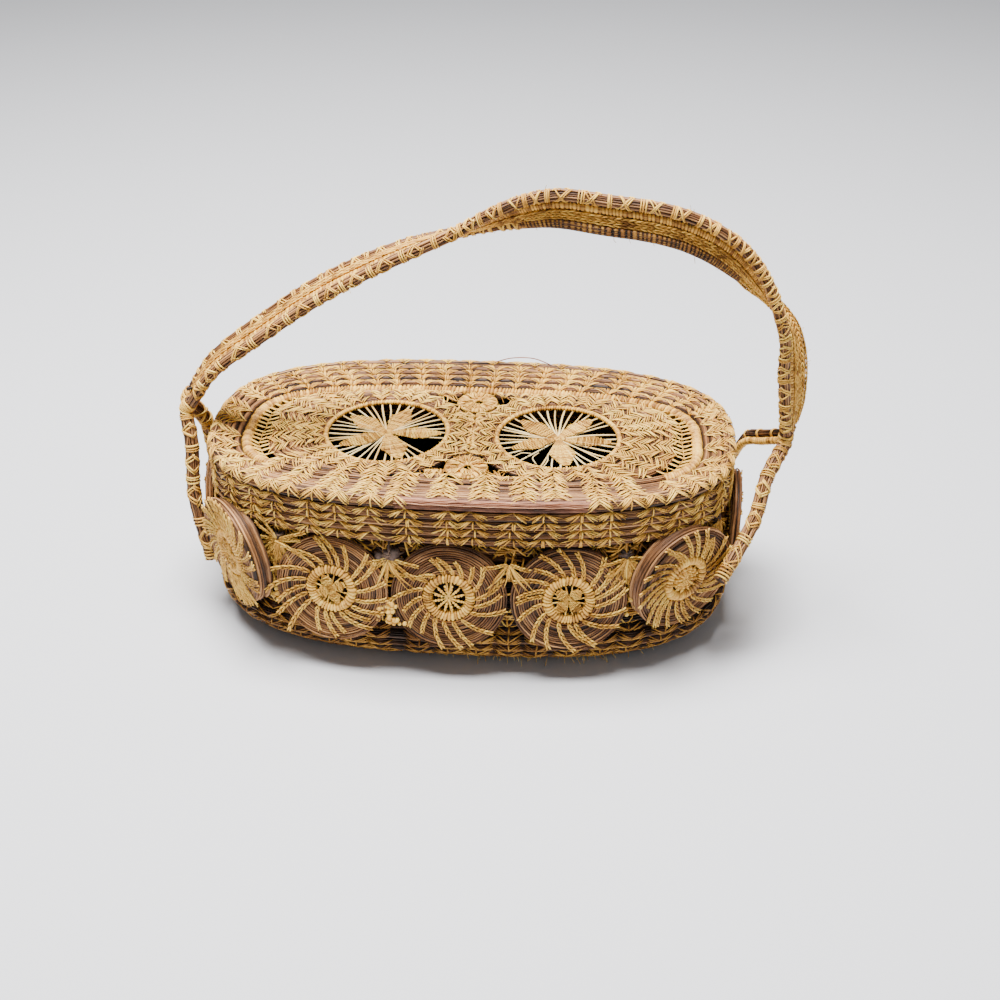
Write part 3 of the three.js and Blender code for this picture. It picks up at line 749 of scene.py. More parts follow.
for name, side in (("left", -1), ("right", 1)):
    coil = Pile()
    sewn = Pile()
    centre = np.array([side * DISC_X, 0.0, DISC_MIDDLE])
    pitch = (DISC_EDGE - INNER) / 2
    rows = []
    for k in range(2):
        row = round_row(centre, EAST, NORTH, UP, INNER + pitch * (k + 0.5), DISC_COIL)
        row.wide = 0.5 * pitch / DISC_COIL
        rows.append(row)
    for k in range(6):
        xy = NET_EDGE - net_out * COIL_STEP * (k + 0.5)
        spare = np.hypot(xy[:, 0] - DISC_X, xy[:, 1]) - DISC_EDGE
        here = np.flatnonzero(spare > 0.4)
        for run in np.split(here, np.flatnonzero(np.diff(here) > 1) + 1):
            if len(run) > 8:
                flip = np.array([side, 1.0])
                wide = np.clip(0.5 * spare[run] + 0.8, 0.9, 0.5 * COIL_STEP)
                out = lift_to(net_out[run] * flip, 0)
                path = lift_to(xy[run] * flip, DISC_MIDDLE)
                rows.append(Row(path, UP, out, DISC_COIL, False, wide / DISC_COIL))
    t = np.radians(np.linspace(-80, 80, 60))
    out = np.column_stack([side * np.cos(t), np.sin(t), np.zeros(60)])
    path = centre + out * (DISC_EDGE + 1.2) - 0.35 * UP
    rows.append(Row(path, UP, out, 1.6, False, 1.3))
    y = np.linspace(-18.6, 18.6, 30)
    wide = DISC_X - np.sqrt(DISC_EDGE**2 - y**2) + 0.7
    path = np.column_stack([side * 0.5 * wide, y, np.full(30, DISC_MIDDLE - 0.15)])
    rows.append(Row(path, UP, side * EAST, 1.65, False, 0.55 * wide / 1.65))
    fillers = [rows[-1]]
    for y, x0, x1 in ((36.7, 8, 29), (-36.7, 8, 29), (-33.4, 10, 17)):
        if y != -33.4 or side < 0:
            path = np.linspace((side * x0, y, DISC_MIDDLE - 0.1), (side * x1, y, DISC_MIDDLE - 0.1), 16)
            fillers.append(Row(path, UP, NORTH * np.sign(y), 1.7, False))
    for row in rows + fillers[1:]:
        needles(coil, row, 8, 0.44, (-95, 95), 4.2, 7.0, 0.15, 0.85)
    for row in fillers:
        places, sizes = columns(max(3, int(row.length / 5.5)), 0.12)
        ferns(sewn, row, places, sizes, **LACE)

    def disc_surface(along, grown, lift):
        t = along / 32.0
        r = HOLE + 1.5 + grown
        z = DISC_TOP - 0.3 + 0.25 * np.cos(TAU * (grown - 2.6) / pitch) + lift
        return np.stack([side * (DISC_X + r * np.cos(t)), r * np.sin(t), z], -1)

    stems, _ = columns(26, 0.12)
    heading = np.mod(stems * TAU + math.pi, TAU) - math.pi
    far = np.where(np.abs(heading) < turn[-1], np.interp(heading, turn, reach), DISC_EDGE)
    ears(sewn, disc_surface, heading * 32.0, np.zeros(26), far - HOLE - 3.6, 1.25, 4.4, 4.2, 0.42)
    rim_row = round_row(centre, EAST, NORTH, UP, HOLE + 1.1, 1.2, 0.5)
    bound(sewn, rim_row, 1.3, 0.4, 8, 0.3, 0.95)
    coil.make("lid_disc_" + name + "_needles", NEEDLE, "lid", "needle", ["lid_disc_" + name])
    sewn.make("lid_disc_" + name + "_stitches", RAFFIA, "lid", "raffia")

# Lid stars, with the spokes that are lost and the loose ends on the right
STARS = (
    ("left", -1, [(2, 0.9, 0.2), (71, 0.86, 0.19), (143, 0.84, 0.2), (213, 0.85, 0.2), (291, 0.88, 0.24)],
     [(327, 350)]),
    ("right", 1, [(-4, 0.88, 0.19), (51, 0.86, 0.18), (139, 0.84, 0.2), (207, 0.82, 0.18), (281, 0.87, 0.23)],
     [(214, 222), (234, 248), (20, 27)]),
)
LOOSE = (
    ((-22.2, -14, 0.3), (-18, -19, 0.6), (-14.4, -20.5, 0.2)),
    ((-8.4, -22, 0.1), (-10.2, -18, 1.0), (-7.8, -14.5, 1.5)),
    ((-5.4, -24, 0.1), (-3.6, -20, 1.2), (-3.9, -17, 2.0)),
    ((-19, -17, 0.3), (-15, -15, 1.4), (-11, -16, 1.9)),
)
for name, side, petals, gaps in STARS:
    spokes = Pile()
    weave = Pile()
    centre = np.array([side * DISC_X, 0.0, HOOP_Z - 0.1])
    star(spokes, weave, centre, EAST, NORTH, UP, HOLE + 0.4, 40, petals, gaps, 0.62, 0.5)
    if side > 0:
        for points in LOOSE:
            line = catmull(np.array(points) + centre, 8)
            spokes.strands(line[None], UP, 0.36, 0.17, 0.8)
    spokes.make("lid_star_" + name + "_spokes", PALE, "lid", "raffia")
    weave.make("lid_star_" + name + "_petals", RAFFIA, "lid", "raffia", ["lid_star_" + name])

# Lid rosettes between the discs
for name, side in (("front", -1), ("back", 1)):
    rose = Pile()
    centre = np.array([0.0, side * ROSETTE_Y, DISC_MIDDLE])
    for middle, reach, radius, wide in ((centre, 7.3, 1.15, 1.9), (centre + 0.7 * EAST, 3.5, 1.0, 1.9)):
        ring = round_row(middle, EAST, NORTH, UP, reach, radius, 0.8)
        ring.wide = wide
        bound(rose, ring, 0.65, 0.2, 8, 0.1, 0.9)
    count = 80
    t = vary(0, TAU, count) + jitter(0.12, count) * SPAN
    r = mix(vary(2.0, 5.6, count), vary(6.5, 9.4, count), SPAN)
    lifted = 2.0 + 0.2 * np.sin(math.pi * SPAN) + vary(0, 0.2, count)
    path = np.stack([r * np.cos(t), r * np.sin(t), lifted], -1) + centre
    rose.strands(path, UP, 0.26, 0.2, rng.uniform(0.1, 1.0, count))
    rose.make("lid_rosette_" + name + "_raffia", RAFFIA, "lid", "raffia", ["lid_rosette_" + name])

# Net of raffia between the hoop and the discs: each thread runs by a knot
net = Pile()
NET_THREADS = 19
for side in (-1, 1):
    y = np.linspace(-30, 31, NET_THREADS) + rng.normal(0, 0.3, NET_THREADS)
    hoop_x = (HOOP_LONG - 1.6) * (1 - np.abs(y / HOOP_WIDE) ** HOOP_OVAL) ** (1 / HOOP_OVAL)
    disc_x = np.interp(y, NET_EDGE[:, 1], NET_EDGE[:, 0]) - 0.8
    outer = np.stack([side * hoop_x, y + 1.3, np.full(NET_THREADS, HOOP_Z + 1.0)], 1)
    inner = np.stack([side * disc_x, y + 1.1, np.full(NET_THREADS, DISC_TOP - 0.9)], 1)
    knot = mix(outer, inner, 0.5) + np.array([0.0, -2.0, -0.5])
    knot[:, 0] += rng.normal(0, 0.3, NET_THREADS)
    for one, two in ((outer, knot), (knot, inner)):
        for shift in (-0.35, 0.35):
            lines = np.stack([mix(one, two, w) for w in (0, 0.33, 0.67, 1)], 1)
            lines = lines + rng.normal(0, 0.12, lines.shape) + shift * NORTH
            net.strands(lines, UP, 0.34, 0.3, rng.uniform(0.55, 1.0, len(lines)))
    lines = np.stack([mix(knot[:-1], knot[1:], w) for w in (0, 0.5, 1)], 1)
    net.strands(lines, UP, 0.3, 0.2, rng.uniform(0.1, 0.6, len(lines)))
for x0, x1, y0, y1, count in (
    (-21, -9, 30, 38, 8), (9, 22, 30, 38, 8), (8, 18, -37, -30, 10), (-20, -8, -38, -30, 30),
):
    one = np.column_stack([rng.uniform(x0, x1, count), np.full(count, y0), np.full(count, DISC_TOP - 1.2)])
    two = np.column_stack([rng.uniform(x0, x1, count), np.full(count, y1), np.full(count, DISC_TOP - 1.2)])
    lines = np.stack([mix(one, two, w) for w in (0, 0.33, 0.67, 1)], 1)
    net.strands(lines, UP, 0.3, 0.25, rng.uniform(0.0, 0.5, count))
net.make("lid_net", RAFFIA, "lid", "raffia")

# Base: stitched bowl rows and rows behind the medallions in dark tones as painted shade, the flat underside
# and a lining in the painted-shade colour
BASE_COLUMNS, BASE_SIZES = columns(44, 0.07)
lip = -1.5 / math.cos(MEDALLION_LEAN) + (MEDALLION_Z - BOWL) * math.tan(MEDALLION_LEAN) - 0.35
base_needles = Pile()
base_stitches = Pile()
base_painted_shade = Pile()
base_rows = []
for k in range(6):
    u = (k + 0.62) / 6 * math.pi / 2
    slope = math.atan2(BOWL * math.sin(u), (LONG - FOOT_LONG) * math.cos(u))
    a = mix(FOOT_LONG, LONG + lip, math.sin(u)) - 1.9 * math.sin(slope)
    b = mix(FOOT_WIDE, WIDE + lip, math.sin(u)) - 1.9 * math.sin(slope)
    z = BOWL * (1 - math.cos(u)) + 2.0 * math.cos(slope) + 0.6
    base_rows.append(ring_row(a, b, OVAL, z, 180 - math.degrees(slope), 2.1))
for inset, z in ((3.0, 21.8), (4.4, 25.4), (4.4, 29.2), (4.4, 33.0)):
    base_rows.append(inset_row(inset, z, 90, 2.0))
for k, row in enumerate(base_rows):
    if row.growth[:, 2].mean() < 0:
        row.growth = -row.growth
    # The base rows take only the darker tones, painted shade
    needles(base_needles, row, 7, 0.52, (-95, 95), 6.4, 7.0, 0.0, 0.35)
    ferns(base_stitches, row, nudge(BASE_COLUMNS, 0.0008), BASE_SIZES, **(CHEVRON if k < 7 else PLAIN))
floor_long = FOOT_LONG - 2
floor_wide = FOOT_WIDE - 2
floor_rows = []
floor_stitches = Pile()
# The floor rows take the painted-shade colour
while floor_wide > 1.5:
    row = ring_row(floor_long, floor_wide, 2.6, 2.75, 180, 2.05)
    needles(base_painted_shade, row, 7, 0.7, (-180, 130), 8.5, 6.0)
    places, sizes = columns(max(8, int(row.length / 20)), 0.1)
    ferns(floor_stitches, row, places, sizes, **PLAIN)
    floor_rows.append(row)
    floor_long -= 4.1
    floor_wide -= 4.1
# Dark sheets along the seams between the bowl rows, tone 0 in the painted-shade colour
for one, two in zip(floor_rows[:1] + base_rows[:-1], base_rows):
    path = 0.5 * (one.centre + two.centre)[::9] - 0.5 * (one.normal + two.normal)[::9]
    seam = unit(two.centre - one.centre)[::9]
    face = unit(one.normal + two.normal)[::9]
    base_painted_shade.tubes(path[None], seam[None], face[None], 2.4, 0.5, 0.0, 6, True)
base_needles.make("base_needles", NEEDLE, "basket", "needle", ["base"])
base_painted_shade.make("base_floor_needles_painted_shade", SHADE, "basket", "needle")
base_stitches.make("base_stitches", RAFFIA, "basket", "raffia")
floor_stitches.make("base_floor_stitches", RAFFIA, "basket", "raffia")

# Rim inside the lid, with bare rows under it behind the medallions in dark tones as painted shade, and a wall
# and a sheet behind them in the painted-shade colour
rim_needles = Pile()
rim_stitches = Pile()
for k in range(6):
    row = inset_row(7.1, 60.5 + 3.88 * k, 90, 2.05)
    needles(rim_needles, row, 8, 0.56, (-180, 135), 7.0)
    ferns(rim_stitches, row, nudge(BASE_COLUMNS, 0.001), BASE_SIZES, **PLAIN)
# Bare rows under the rim in dark tones only, painted shade
for z in (56.6, 52.7):
    row = inset_row(8.0, z, 90, 2.05)
    needles(rim_needles, row, 7, 0.56, (-120, 120), 7.0, 7.0, 0.0, 0.4)
painted_shade_wall = Pile()
# A wall of needles and a sheet behind the medallions, in the painted-shade colour
for z in (36.8, 40.8, 44.8, 48.8):
    needles(painted_shade_wall, inset_row(6.2, z, 90, 2.05), 7, 0.6, (-95, 95), 8.0)
xy, out = oval(LONG - 8.4, WIDE - 8.4, OVAL, 120)
stand_up = np.tile(UP, (1, 120, 1))
painted_shade_wall.tubes(lift_to(xy, 45.5)[None], stand_up, lift_to(out, 0)[None], 12.5, 0.6, 0.0, 6, True)
painted_shade_wall.make("wall_inner_painted_shade", SHADE, "basket", "needle")
rim_needles.make("rim_needles", NEEDLE, "basket", "needle", ["rim"])
rim_stitches.make("rim_stitches", RAFFIA, "basket", "raffia")

# Medallions round the wall
STATIONS = 12
# Stations that show in front, from the left
LEFT_END = 9
LEFT_CORNER = 10
LEFT_FRONT = 11
MIDDLE_FRONT = 0
RIGHT_FRONT = 1
RIGHT_CORNER = 2
wall_xy, wall_out = oval(LONG, WIDE, OVAL, 2400)
perimeter = np.linalg.norm(np.roll(wall_xy, -1, 0) - wall_xy, axis=1).sum()
MEDALLION = perimeter / 24 - 0.4
places = []
for i in range(STATIONS):
    j = int(round((i / STATIONS + MEDALLION_SHIFT / perimeter) * 2400)) % 2400
    out = np.append(wall_out[j], 0)
    centre = np.append(wall_xy[j], MEDALLION_Z)
    lean = MEDALLION_LEAN
    if i in ENDS:
        centre = centre + out * END_OUT + UP * END_RISE
        turn = math.radians(ENDS[i])
        out = np.array([out[0] * math.cos(turn) - out[1] * math.sin(turn),
                        out[0] * math.sin(turn) + out[1] * math.cos(turn), 0])
        lean = END_LEAN
    face = out * math.cos(lean) + UP * math.sin(lean)
    along = np.array([-out[1], out[0], 0])
    places.append((centre, along, np.cross(face, along), face))
NEEDLE_RINGS = 13
CORNER_EDGE = {LEFT_CORNER: (-0.14, 0.3), RIGHT_CORNER: (0.2, 0.64)}
PETALS = {1: (4, 45), 11: (4, 28), 10: (6, 0), 4: (5, 30), 6: (4, 10), 7: (5, 0), 9: (4, 40)}
WOUND = range(2, 11)
THICK_SEWN = {10: (34, 0.85), 8: (26, 0.75), 3: (24, 0.75), 2: (26, 0.75)}
for i, (centre, along, up, face) in enumerate(places):
    coil = Pile()
    sewn = Pile()
    steps = 48
    out = around(np.arange(steps) / steps * TAU, along, up)
    flat = np.broadcast_to(face, (1, steps, 3))
    for k in range(NEEDLE_RINGS):
        for level in (-0.8, 0.8) if i in ENDS or k > NEEDLE_RINGS - 5 else (0.8,):
            r = mix(11.9, MEDALLION - 0.5, k / (NEEDLE_RINGS - 1)) + 0.16 * ripple(1, steps, 7)[0]
            n = level + 0.12 * ripple(1, steps, 8)[0] + rng.normal(0, 0.18)
            path = (centre + out * r[:, None] + face * n[:, None])[None]
            tone = np.clip(rng.uniform(0.25, 1.0) + 0.25 * ripple(1, steps, 9), 0, 1)
            coil.tubes(path, out[None], flat, 0.38, 0.6, tone, 4, True)
    # A sheet behind the needle rings in tone 0, the darkest colour, painted shade
    path = (centre + out * 17.8)[None]
    coil.tubes(path, out[None], flat, 6.3, 0.75, 0.0, 6, True)
    if i in CORNER_EDGE:
        for back in (2.6, 5.4):
            edge = round_row(centre, along, up, face, MEDALLION - 1.6, 1.6, -back).part(*CORNER_EDGE[i])
            needles(coil, edge, 9, 0.5, (-20, 200), 4.2, 7.0, 0.2, 0.9)
    bound(sewn, round_row(centre, along, up, face, RING_MIDDLE, RING_TUBE, 0.25), 1.4, 0.3, 10, 0.35, 0.95)
    arms, half = THICK_SEWN.get(i, (18 + i % 3, 0.72))
    begin = TAU * (np.arange(arms) + rng.normal(0, 0.12, arms)) / arms
    sweep = np.radians(rng.uniform(14, 30, arms))
    far = MEDALLION + 0.2 - np.where(rng.uniform(0, 1, arms) < 0.35, rng.uniform(1, 5, arms), 0)
    heading = np.mod(begin + 0.5 * sweep, TAU)
    if i == MIDDLE_FRONT:
        short = mix(11.4, far, rng.uniform(0.35, 0.75, arms))
        far = np.where((heading > 0.7) & (heading < 2.4), short, far)
    if i == LEFT_FRONT:
        far = far + np.where(np.abs(heading - math.pi) < 1.0, 6.0, 0.0)
    if i == LEFT_CORNER:
        far = MEDALLION + 0.5 + np.where(np.cos(heading) > 0.6, 2.0, 0.0)
    u = np.linspace(0, 1, 12)
    reach = 11.2 + (far - 11.2)[:, None] * u
    a = begin[:, None] + sweep[:, None] * u
    path = centre + around(a, along, up) * reach[..., None] + 1.3 * face
    plait(sewn, path, face, 7, half + 0.06, 0.5, 0.35, 1.0)
    middle = centre + (0.5 if i in WOUND else 1.5) * face
    if i in WOUND:
        for reach in (1.2, 3.1, 5.0):
            bound(sewn, round_row(middle, along, up, face, reach, 1.15), 1.3, 0.25, 7, 0.2, 0.8)
        middle = middle + 0.9 * face
    if i in PETALS:
        count, turn = PETALS[i]
        leaves = [(turn + 360 / count * q, 0.97, 1.65 / count) for q in range(count)]
        star(sewn, sewn, middle, along, up, face, 7.0, 16, leaves, (), 0.6, 0.34)
    else:
        star(sewn, sewn, middle, along, up, face, 7.0, 12, [], (), 0.6, 0.4)
        angle = (np.arange(12) + 0.5) / 12 * TAU
        out = around(angle, along, up)
        for reach, size in ((3.0, 0.6), (4.3, 0.72), (5.6, 0.62)):
            spot = middle + out * reach + 0.2 * face
            sewn.balls(spot, along, face, np.full(12, size), rng.uniform(0.4, 1, 12))
    label = "medallion_%02d" % (i + 1)
    coil.make(label + "_needles", NEEDLE, "basket", "needle", [label])
    sewn.make(label + "_raffia", RAFFIA, "basket", "raffia")

# Ties between neighbouring medallions: a dark knot, chain stitches, loose strands, lacing and bobbles
ties = Pile()
knots = Pile()
# By seam: size of the knot, chains and their length, loose strands, bobbles and lacing
SEAMS = {
    MIDDLE_FRONT: (0.0, 3, 9.0, 10, 0, 4),
    RIGHT_FRONT: (0.8, 9, 14.0, 16, 8, 24),
    LEFT_CORNER: (0.9, 10, 14.0, 10, 8, 26),
    LEFT_FRONT: (1.5, 7, 13.0, 7, 32, 16),
}
for i in range(STATIONS):
    size, chains, length, loose, bobbles, lacing = SEAMS.get(i, (0.9, 8, 11.0, 9, 12, 30))
    one = places[i]
    two = places[(i + 1) % STATIONS]
    centre = 0.5 * (one[0] + two[0])
    along = unit(two[0] - one[0])
    face = unit(one[3] + two[3])
    up = unit(np.cross(face, along))
    knot = centre + up * 17.0 + face * 0.4
    corner = i == LEFT_CORNER
    spread = (130, 400) if corner else (192, 348)
    heading = np.radians(np.linspace(*spread, chains) + rng.normal(0, 6, chains))
    far = length * rng.uniform(0.75, 1.1, chains)
    u = np.linspace(0, 1, 10)
    r = 0.5 + far[:, None] * u
    line = knot + around(heading[:, None], along, up) * r[..., None]
    line = line + face * (1.9 + 0.5 * np.sin(u * math.pi))[:, None] + rng.normal(0, 0.08, line.shape)
    plait(ties, line, face, 7, 0.65, 0.46, 0.2, 0.95)
    if i in (RIGHT_FRONT, LEFT_CORNER):
        heading = np.radians(np.linspace(232, 308, 9) + rng.normal(0, 4, 9))
        r = 3 + rng.uniform(14, 23, 9)[:, None] * u
        line = knot + around(heading[:, None], along, up) * r[..., None]
        line = line + face * (1.5 + 0.9 * np.sin(u * math.pi))[:, None] + rng.normal(0, 0.15, line.shape)
        plait(ties, line, face, 12, 0.65, 0.46, 0.1, 0.9)
    heading = np.radians(rng.uniform(222, 318, loose))
    far = rng.uniform(9, 18, loose)
    r = 0.5 + far[:, None] * u
    bend = jitter(0.9, loose) * np.sin(u * math.pi)
    line = knot + around(heading[:, None], along, up) * r[..., None] + bend[..., None] * along
    line = line + face * (2.3 + jitter(0.3, loose) + 0.7 * np.sin(u * math.pi))[..., None]
    wide = vary(0.3, 0.6, loose) * np.sin(0.35 + u * 2.5)
    ties.strands(line, face, wide, 0.25, rng.uniform(0.2, 0.95, loose))
    if lacing:
        h = rng.uniform(-14, 13, lacing)
        half = 1.6 + 24.6 - np.sqrt(24.6**2 - h**2) + rng.uniform(0, 1.5, lacing)
        v = np.linspace(-1, 1, 6)
        line = centre + (half[:, None] * v)[..., None] * along
        line = line + (h[:, None] + jitter(0.9, lacing) * v)[..., None] * up
        line = line + face * (0.7 + vary(0.2, 0.9, lacing) * (1.2 - v**2))[..., None]
        ties.strands(line, face, 0.5, 0.3, rng.uniform(0.0, 0.6, lacing))
    mess = 150 if corner else 60 if i in (RIGHT_FRONT, RIGHT_CORNER, LEFT_END) else 24
    v = np.linspace(-1, 1, 6)
    far = vary(-10, 5, mess) if corner else jitter(4.5, mess)
    rise = vary(-16 if corner else -6, 9, mess)
    spot = knot + along * far + up * rise + face * vary(-2.5, 0.6, mess)
    if corner:
        spot[::2] = knot + along * vary(-26, -2, 75) + up * vary(-4, 11, 75)
        spot[::2] += face * vary(-6, -2, 75)
    turn = vary(0, TAU, mess)
    way = np.cos(turn) * along + np.sin(turn) * up
    line = spot[:, None] + way[:, None] * (vary(2.5, 5.5, mess) * v)[..., None]
    line = line + face * (0.8 * (1 - v**2))[:, None]
    ties.strands(line, face, 0.5, 0.3, rng.uniform(0.0, 0.6, mess))
    if size > 1.2:
        spot = knot + along * jitter(2.0, 9) + up * vary(-1, 5, 9)
        knots.balls(spot + 0.8 * face, along, face, rng.uniform(1.6, 2.5, 9), rng.uniform(0.0, 0.3, 9))
    if size:
        count = int(22 * size)
        turn = rng.normal(0, 0.7, count)
        span = size * rng.uniform(1.8, 4.6, count)
        v = np.linspace(-1, 1, 6)
        line = knot + up * (0.8 + rng.normal(0, 0.8 * size, (count, 1, 1)))
        line = line + (np.cos(turn) * span)[:, None, None] * v[:, None] * along
        line = line + (np.sin(turn) * 0.8 * span)[:, None, None] * v[:, None] * up
        line = line + face * (0.7 + vary(0.8, 1.9, count) * (1 - v**2))[..., None]
        knots.strands(line, face, 0.55, 0.4, rng.uniform(0.0, 0.8, count))
    if bobbles:
        h = rng.uniform(-14, -3, bobbles)
        x = rng.normal(0, 1.8 + 0.1 * (-4 - h))
        spot = centre + along * x[:, None] + up * h[:, None] + face * vary(1.8, 3.4, bobbles)
        ties.balls(spot, along, face, rng.uniform(0.95, 1.35, bobbles), rng.uniform(0.5, 1, bobbles))
ties.make("medallion_ties", RAFFIA, "basket", "raffia")
knots.make("tie_knots", TIE, "basket", "raffia")

# Handle strap: needle coils at both edges, a wrapped rib and two plaits between
# Along, up and turn in degrees at points of its middle line
STRAP = np.array([
    (-1.078, 0.099, -12), (-0.984, 0.251, -13), (-0.778, 0.438, -17), (-0.579, 0.599, -16),
    (-0.417, 0.705, -12), (-0.232, 0.806, -2), (-0.051, 0.884, 18), (0.072, 0.94, 40), (0.186, 0.98, 64),
    (0.308, 1.0, 82), (0.483, 0.976, 90), (0.657, 0.95, 90), (0.79, 0.907, 86), (0.897, 0.844, 76),
    (0.967, 0.78, 60), (1.03, 0.704, 38), (1.088, 0.62, 12), (1.157, 0.481, -20), (1.183, 0.32, -40),
    (1.197, 0.149, -32), (1.196, 0.042, -18),
])
STRAP_STEPS = 600
line = np.column_stack([STRAP[:, 0] * LONG, np.zeros(len(STRAP)), LID_TOP + STRAP[:, 1] * RISE])
strap_line = catmull(line, STRAP_STEPS)
turns = np.column_stack([np.arange(len(STRAP)), STRAP[:, 2], np.zeros(len(STRAP))])
strap_turn = np.radians(catmull(turns, STRAP_STEPS)[:, 1])
strap_run = unit(np.gradient(strap_line, axis=0))
strap_out = unit(np.cross(np.broadcast_to([0.0, -1.0, 0.0], strap_run.shape), strap_run))
strap_front = np.cross(strap_run, strap_out)
cos_turn = np.cos(strap_turn)[:, None]
sin_turn = np.sin(strap_turn)[:, None]
strap_wide = strap_front * cos_turn + strap_out * sin_turn
strap_face = strap_out * cos_turn - strap_front * sin_turn


def dress(pile, row, reach, pitch, width=0.42):
    """Crosses and bands in turn along a coil, on both its faces."""
    count = int(row.length / pitch)
    start = (np.arange(count) + 0.5 + rng.normal(0, 0.06, count)) / count
    for middle in (0, 180):
        crosses(pile, row, start, reach, width, middle)
    bands(pile, row, (np.arange(1, count) + rng.normal(0, 0.06, count - 1)) / count, 3, width)


strap_needles = Pile()
strap_raffia = Pile()
front_edge = Row(strap_line + strap_wide * 6.1, strap_face, strap_wide, 2.45, False)
back_edge = Row(strap_line - strap_wide * 6.1, strap_face, strap_wide, 2.45, False)
# The back edge from 0.4 to 0.76 takes only dark tones, painted shade
for row, low, high in (
    (front_edge, 0.1, 0.9), (back_edge.part(0.0, 0.4), 0.1, 0.9), (back_edge.part(0.4, 0.76), 0.0, 0.4),
):
    needles(strap_needles, row, 13, 0.5, (-180, 154), 3.4, 9.0, low, high)
dress(strap_raffia, front_edge, 2.7, 11.0)
dress(strap_raffia, back_edge.part(0.0, 0.4), 2.7, 11.0)
# Wraps over that stretch in the darkest tones, painted shade
LOWER = back_edge.part(0.38, 0.76)
bound(strap_raffia, LOWER, 1.7, 0.3, 8, 0.0, 0.25)
OUTER = back_edge.part(0.72, 1.0)
OUTER.radius = OUTER.radius * np.clip(0.75 + 2.5 * np.linspace(0, 1, len(OUTER.radius)), 0, 1)
bound(strap_raffia, OUTER, 2.2, 0.3, 10, 0.2, 0.8)
row = Row(strap_line + strap_wide * 1.9, strap_face, strap_wide, 1.75, False)
bound(strap_raffia, row, 1.4, 0.25, 8, 0.1, 0.65)
for offset in (-0.75, -2.9):
    row = Row(strap_line + strap_wide * offset, strap_face, strap_wide, 1.3, False)
    bound(strap_raffia, row, 4.0, 0.3, 6, 0.1, 0.5)
    for hand in (-1, 1):
        path = strap_line + strap_wide * offset + strap_face * 1.1 * hand
        plait(strap_raffia, path[None], (strap_face * hand)[None], 150, 0.85, 0.5, 0.1, 0.8)
for angle in np.radians([-38, 38, 142, 218, 270]):
    face = np.cos(angle) * OUTER.normal + np.sin(angle) * OUTER.growth
    path = OUTER.centre + face * (OUTER.radius - 0.2)[:, None]
    plait(strap_raffia, path[None], face[None], 42, 0.95, 0.55, 0.3, 1.0)
# A sheet behind the strap's coils in tone 0, painted shade
backing = (strap_line + strap_wide)[None, ::3]
strap_needles.tubes(backing, strap_wide[None, ::3], strap_face[None, ::3], 4.6, 0.4, 0.0, 6)
strap_needles.make("handle_strap_needles", NEEDLE, "basket", "needle", ["handle_strap"])
strap_raffia.make("handle_strap_raffia", RAFFIA, "basket", "raffia")

# Legs of the handle: one oval bundle each, but the right rear one is a needle coil and a wrapped one
LEGS = (
    ("leg_front_left", 0, 1, [(9.2, -0.16, 0.9), (9.8, -0.25, 0.63), (4.7, -0.36, 0.3)]),
    ("leg_rear_left", 0, -1, [(9, 0.2, 0.9), (9.8, 0.3, 0.66), (6.45, 0.33, 0.34)]),
    ("leg_front_right", 1, 1, [(14.5, -0.28, 0.885), (12.7, -0.44, 0.7), (15.35, -0.74, 0.49)]),
    ("leg_rear_right", 1, -1, [(16, 0.22, 0.9), (12.2, 0.43, 0.8), (10.65, 0.55, 0.59)]),
)
for name, end, half, route in LEGS:
    j = -1 if end else 0
    down = strap_run[j] * (1 if end else -1)
    start_point = strap_line[j] + strap_wide[j] * half * 4.1
    points = [start_point, start_point + down * 5]
    for out, y, z in route:
        x = LONG * (1 - abs(y) ** OVAL) ** (1 / OVAL) + out
        points.append(np.array([x if end else -x, y * WIDE, z * LID_TOP]))
    leg_line = catmull(points, 120)
    run = unit(np.gradient(leg_line, axis=0))
    thin = unit(strap_face[j] - run * (run @ strap_face[j])[:, None])
    broad = np.cross(thin, run)
    coil = Pile()
    sewn = Pile()
    if name == "leg_rear_right":
        row = Row(leg_line + broad * 1.75, thin, broad, 1.95, False, 0.95)
        needles(coil, row, 12, 0.46, (-180, 150), 3.0, 14.0, 0.1, 0.9)
        bands(sewn, row, np.linspace(0.12, 0.88, 6), 2, 0.36)
        bound(sewn, Row(leg_line - broad * 1.75, thin, broad, 1.95, False, 0.95), 1.5, 0.14, 9, 0.3, 0.85)
    else:
        row = Row(leg_line, thin, broad, 2.95, False, 1.22)
        needles(coil, row, 17, 0.52, (-180, 160), 3.0, 9.0, 0.25, 0.9)
        dress(sewn, row, 3.1, 12.0, 0.48)
        bands(sewn, row, np.array([0.955, 0.98]), 3, 0.48)
    coil.make(name + "_needles", NEEDLE, "basket", "needle", [name])
    sewn.make(name + "_raffia", RAFFIA, "basket", "raffia")

# Frayed ends under the front of the base and along the handle
fray = Pile()
count = 60
low_row = base_rows[1]
root, out, _, _ = low_row.at(np.mod(rng.normal(26, 24, count) / low_row.length, 1))
foot = root + out * 1.6
level = unit(out * [1, 1, 0])
tip = foot + level * vary(1.5, 5.5, count) + rng.normal(0, 1.0, (count, 3)) - UP
tip[:, 2] = np.maximum(tip[:, 2], 0.5)
bend = 0.5 * (foot + tip) + rng.normal(0, 0.5, (count, 3))
bend[:, 2] = np.maximum(bend[:, 2], 0.5)
fray.strands(np.stack([foot, bend, tip], 1), UP, 0.2, 0.14, rng.uniform(0.2, 1, count))
count = 150
at = np.concatenate([rng.integers(20, STRAP_STEPS - 20, 60), rng.integers(440, STRAP_STEPS - 10, 90)])
edge = np.where(np.arange(count) < 60, rng.choice([-8.0, 8.0], count), -8.0)
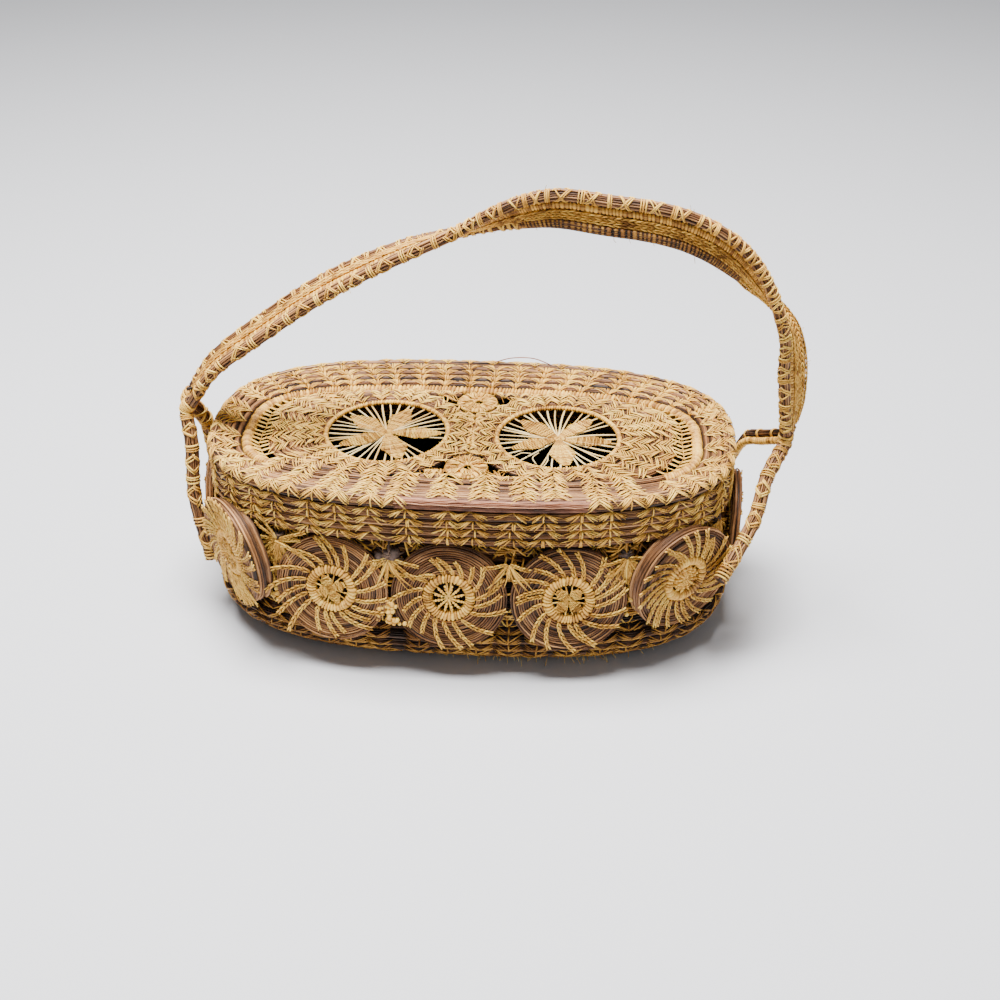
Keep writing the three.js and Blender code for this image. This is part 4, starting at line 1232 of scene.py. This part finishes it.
root = strap_line[at] + strap_wide[at] * edge[:, None]
tip = root + unit(root - strap_line[at]) * vary(0.8, 2.6, count) + rng.normal(0, 1.2, (count, 3))
fray.strands(np.stack([root, mix(root, tip, 0.6) + rng.normal(0, 0.3, (count, 3)), tip], 1),
             UP, 0.13, 0.1, rng.uniform(0.3, 1, count))
fray.make("frayed_ends", PALE, "basket", "raffia")
stub = Pile()
root = strap_line[6] + strap_face[6] * 1.8
tip = root + strap_face[6] * 3.2 - UP * 2.2
stub.strands(np.stack([root, mix(root, tip, 0.5), tip])[None], NORTH, 0.8, 0.6, 0.1)
stub.make("strap_stub", TIE, "basket", "raffia")

# Floor, light and surroundings
stand = bpy.data.meshes.new("floor")
stand.from_pydata([(-4, -4, 0), (4, -4, 0), (4, 4, 0), (-4, 4, 0)], [], [(0, 1, 2, 3)])
floor = bpy.data.objects.new("floor", stand)
bpy.context.scene.collection.objects.link(floor)
floor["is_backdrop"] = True
pale = bpy.data.materials.new("floor")
pale.use_nodes = True
pale.node_tree.nodes["Principled BSDF"].inputs["Base Color"].default_value = linear(210, 210, 213)
pale.node_tree.nodes["Principled BSDF"].inputs["Roughness"].default_value = 0.85
stand.materials.append(pale)
world = bpy.data.worlds.new("studio")
world.use_nodes = True
world.node_tree.nodes["Background"].inputs["Color"].default_value = linear(230, 232, 236)
world.node_tree.nodes["Background"].inputs["Strength"].default_value = 0.27
bpy.context.scene.world = world
for name, place, size, power in (
    ("key", (-0.12, 0.0, 1.15), 0.6, 57.0),
    ("fill", (0.7, -1.0, 0.7), 1.0, 1.5),
):
    lamp = bpy.data.lights.new(name, "AREA")
    lamp.size = size
    lamp.energy = power
    light = bpy.data.objects.new(name, lamp)
    light.location = place
    aim = np.array([0.0, 0.0, 0.07]) - np.array(place)
    tilt = math.atan2(math.hypot(aim[0], aim[1]), -aim[2])
    light.rotation_euler = (tilt, 0, math.atan2(aim[1], aim[0]) - math.pi / 2)
    bpy.context.scene.collection.objects.link(light)

low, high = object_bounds()
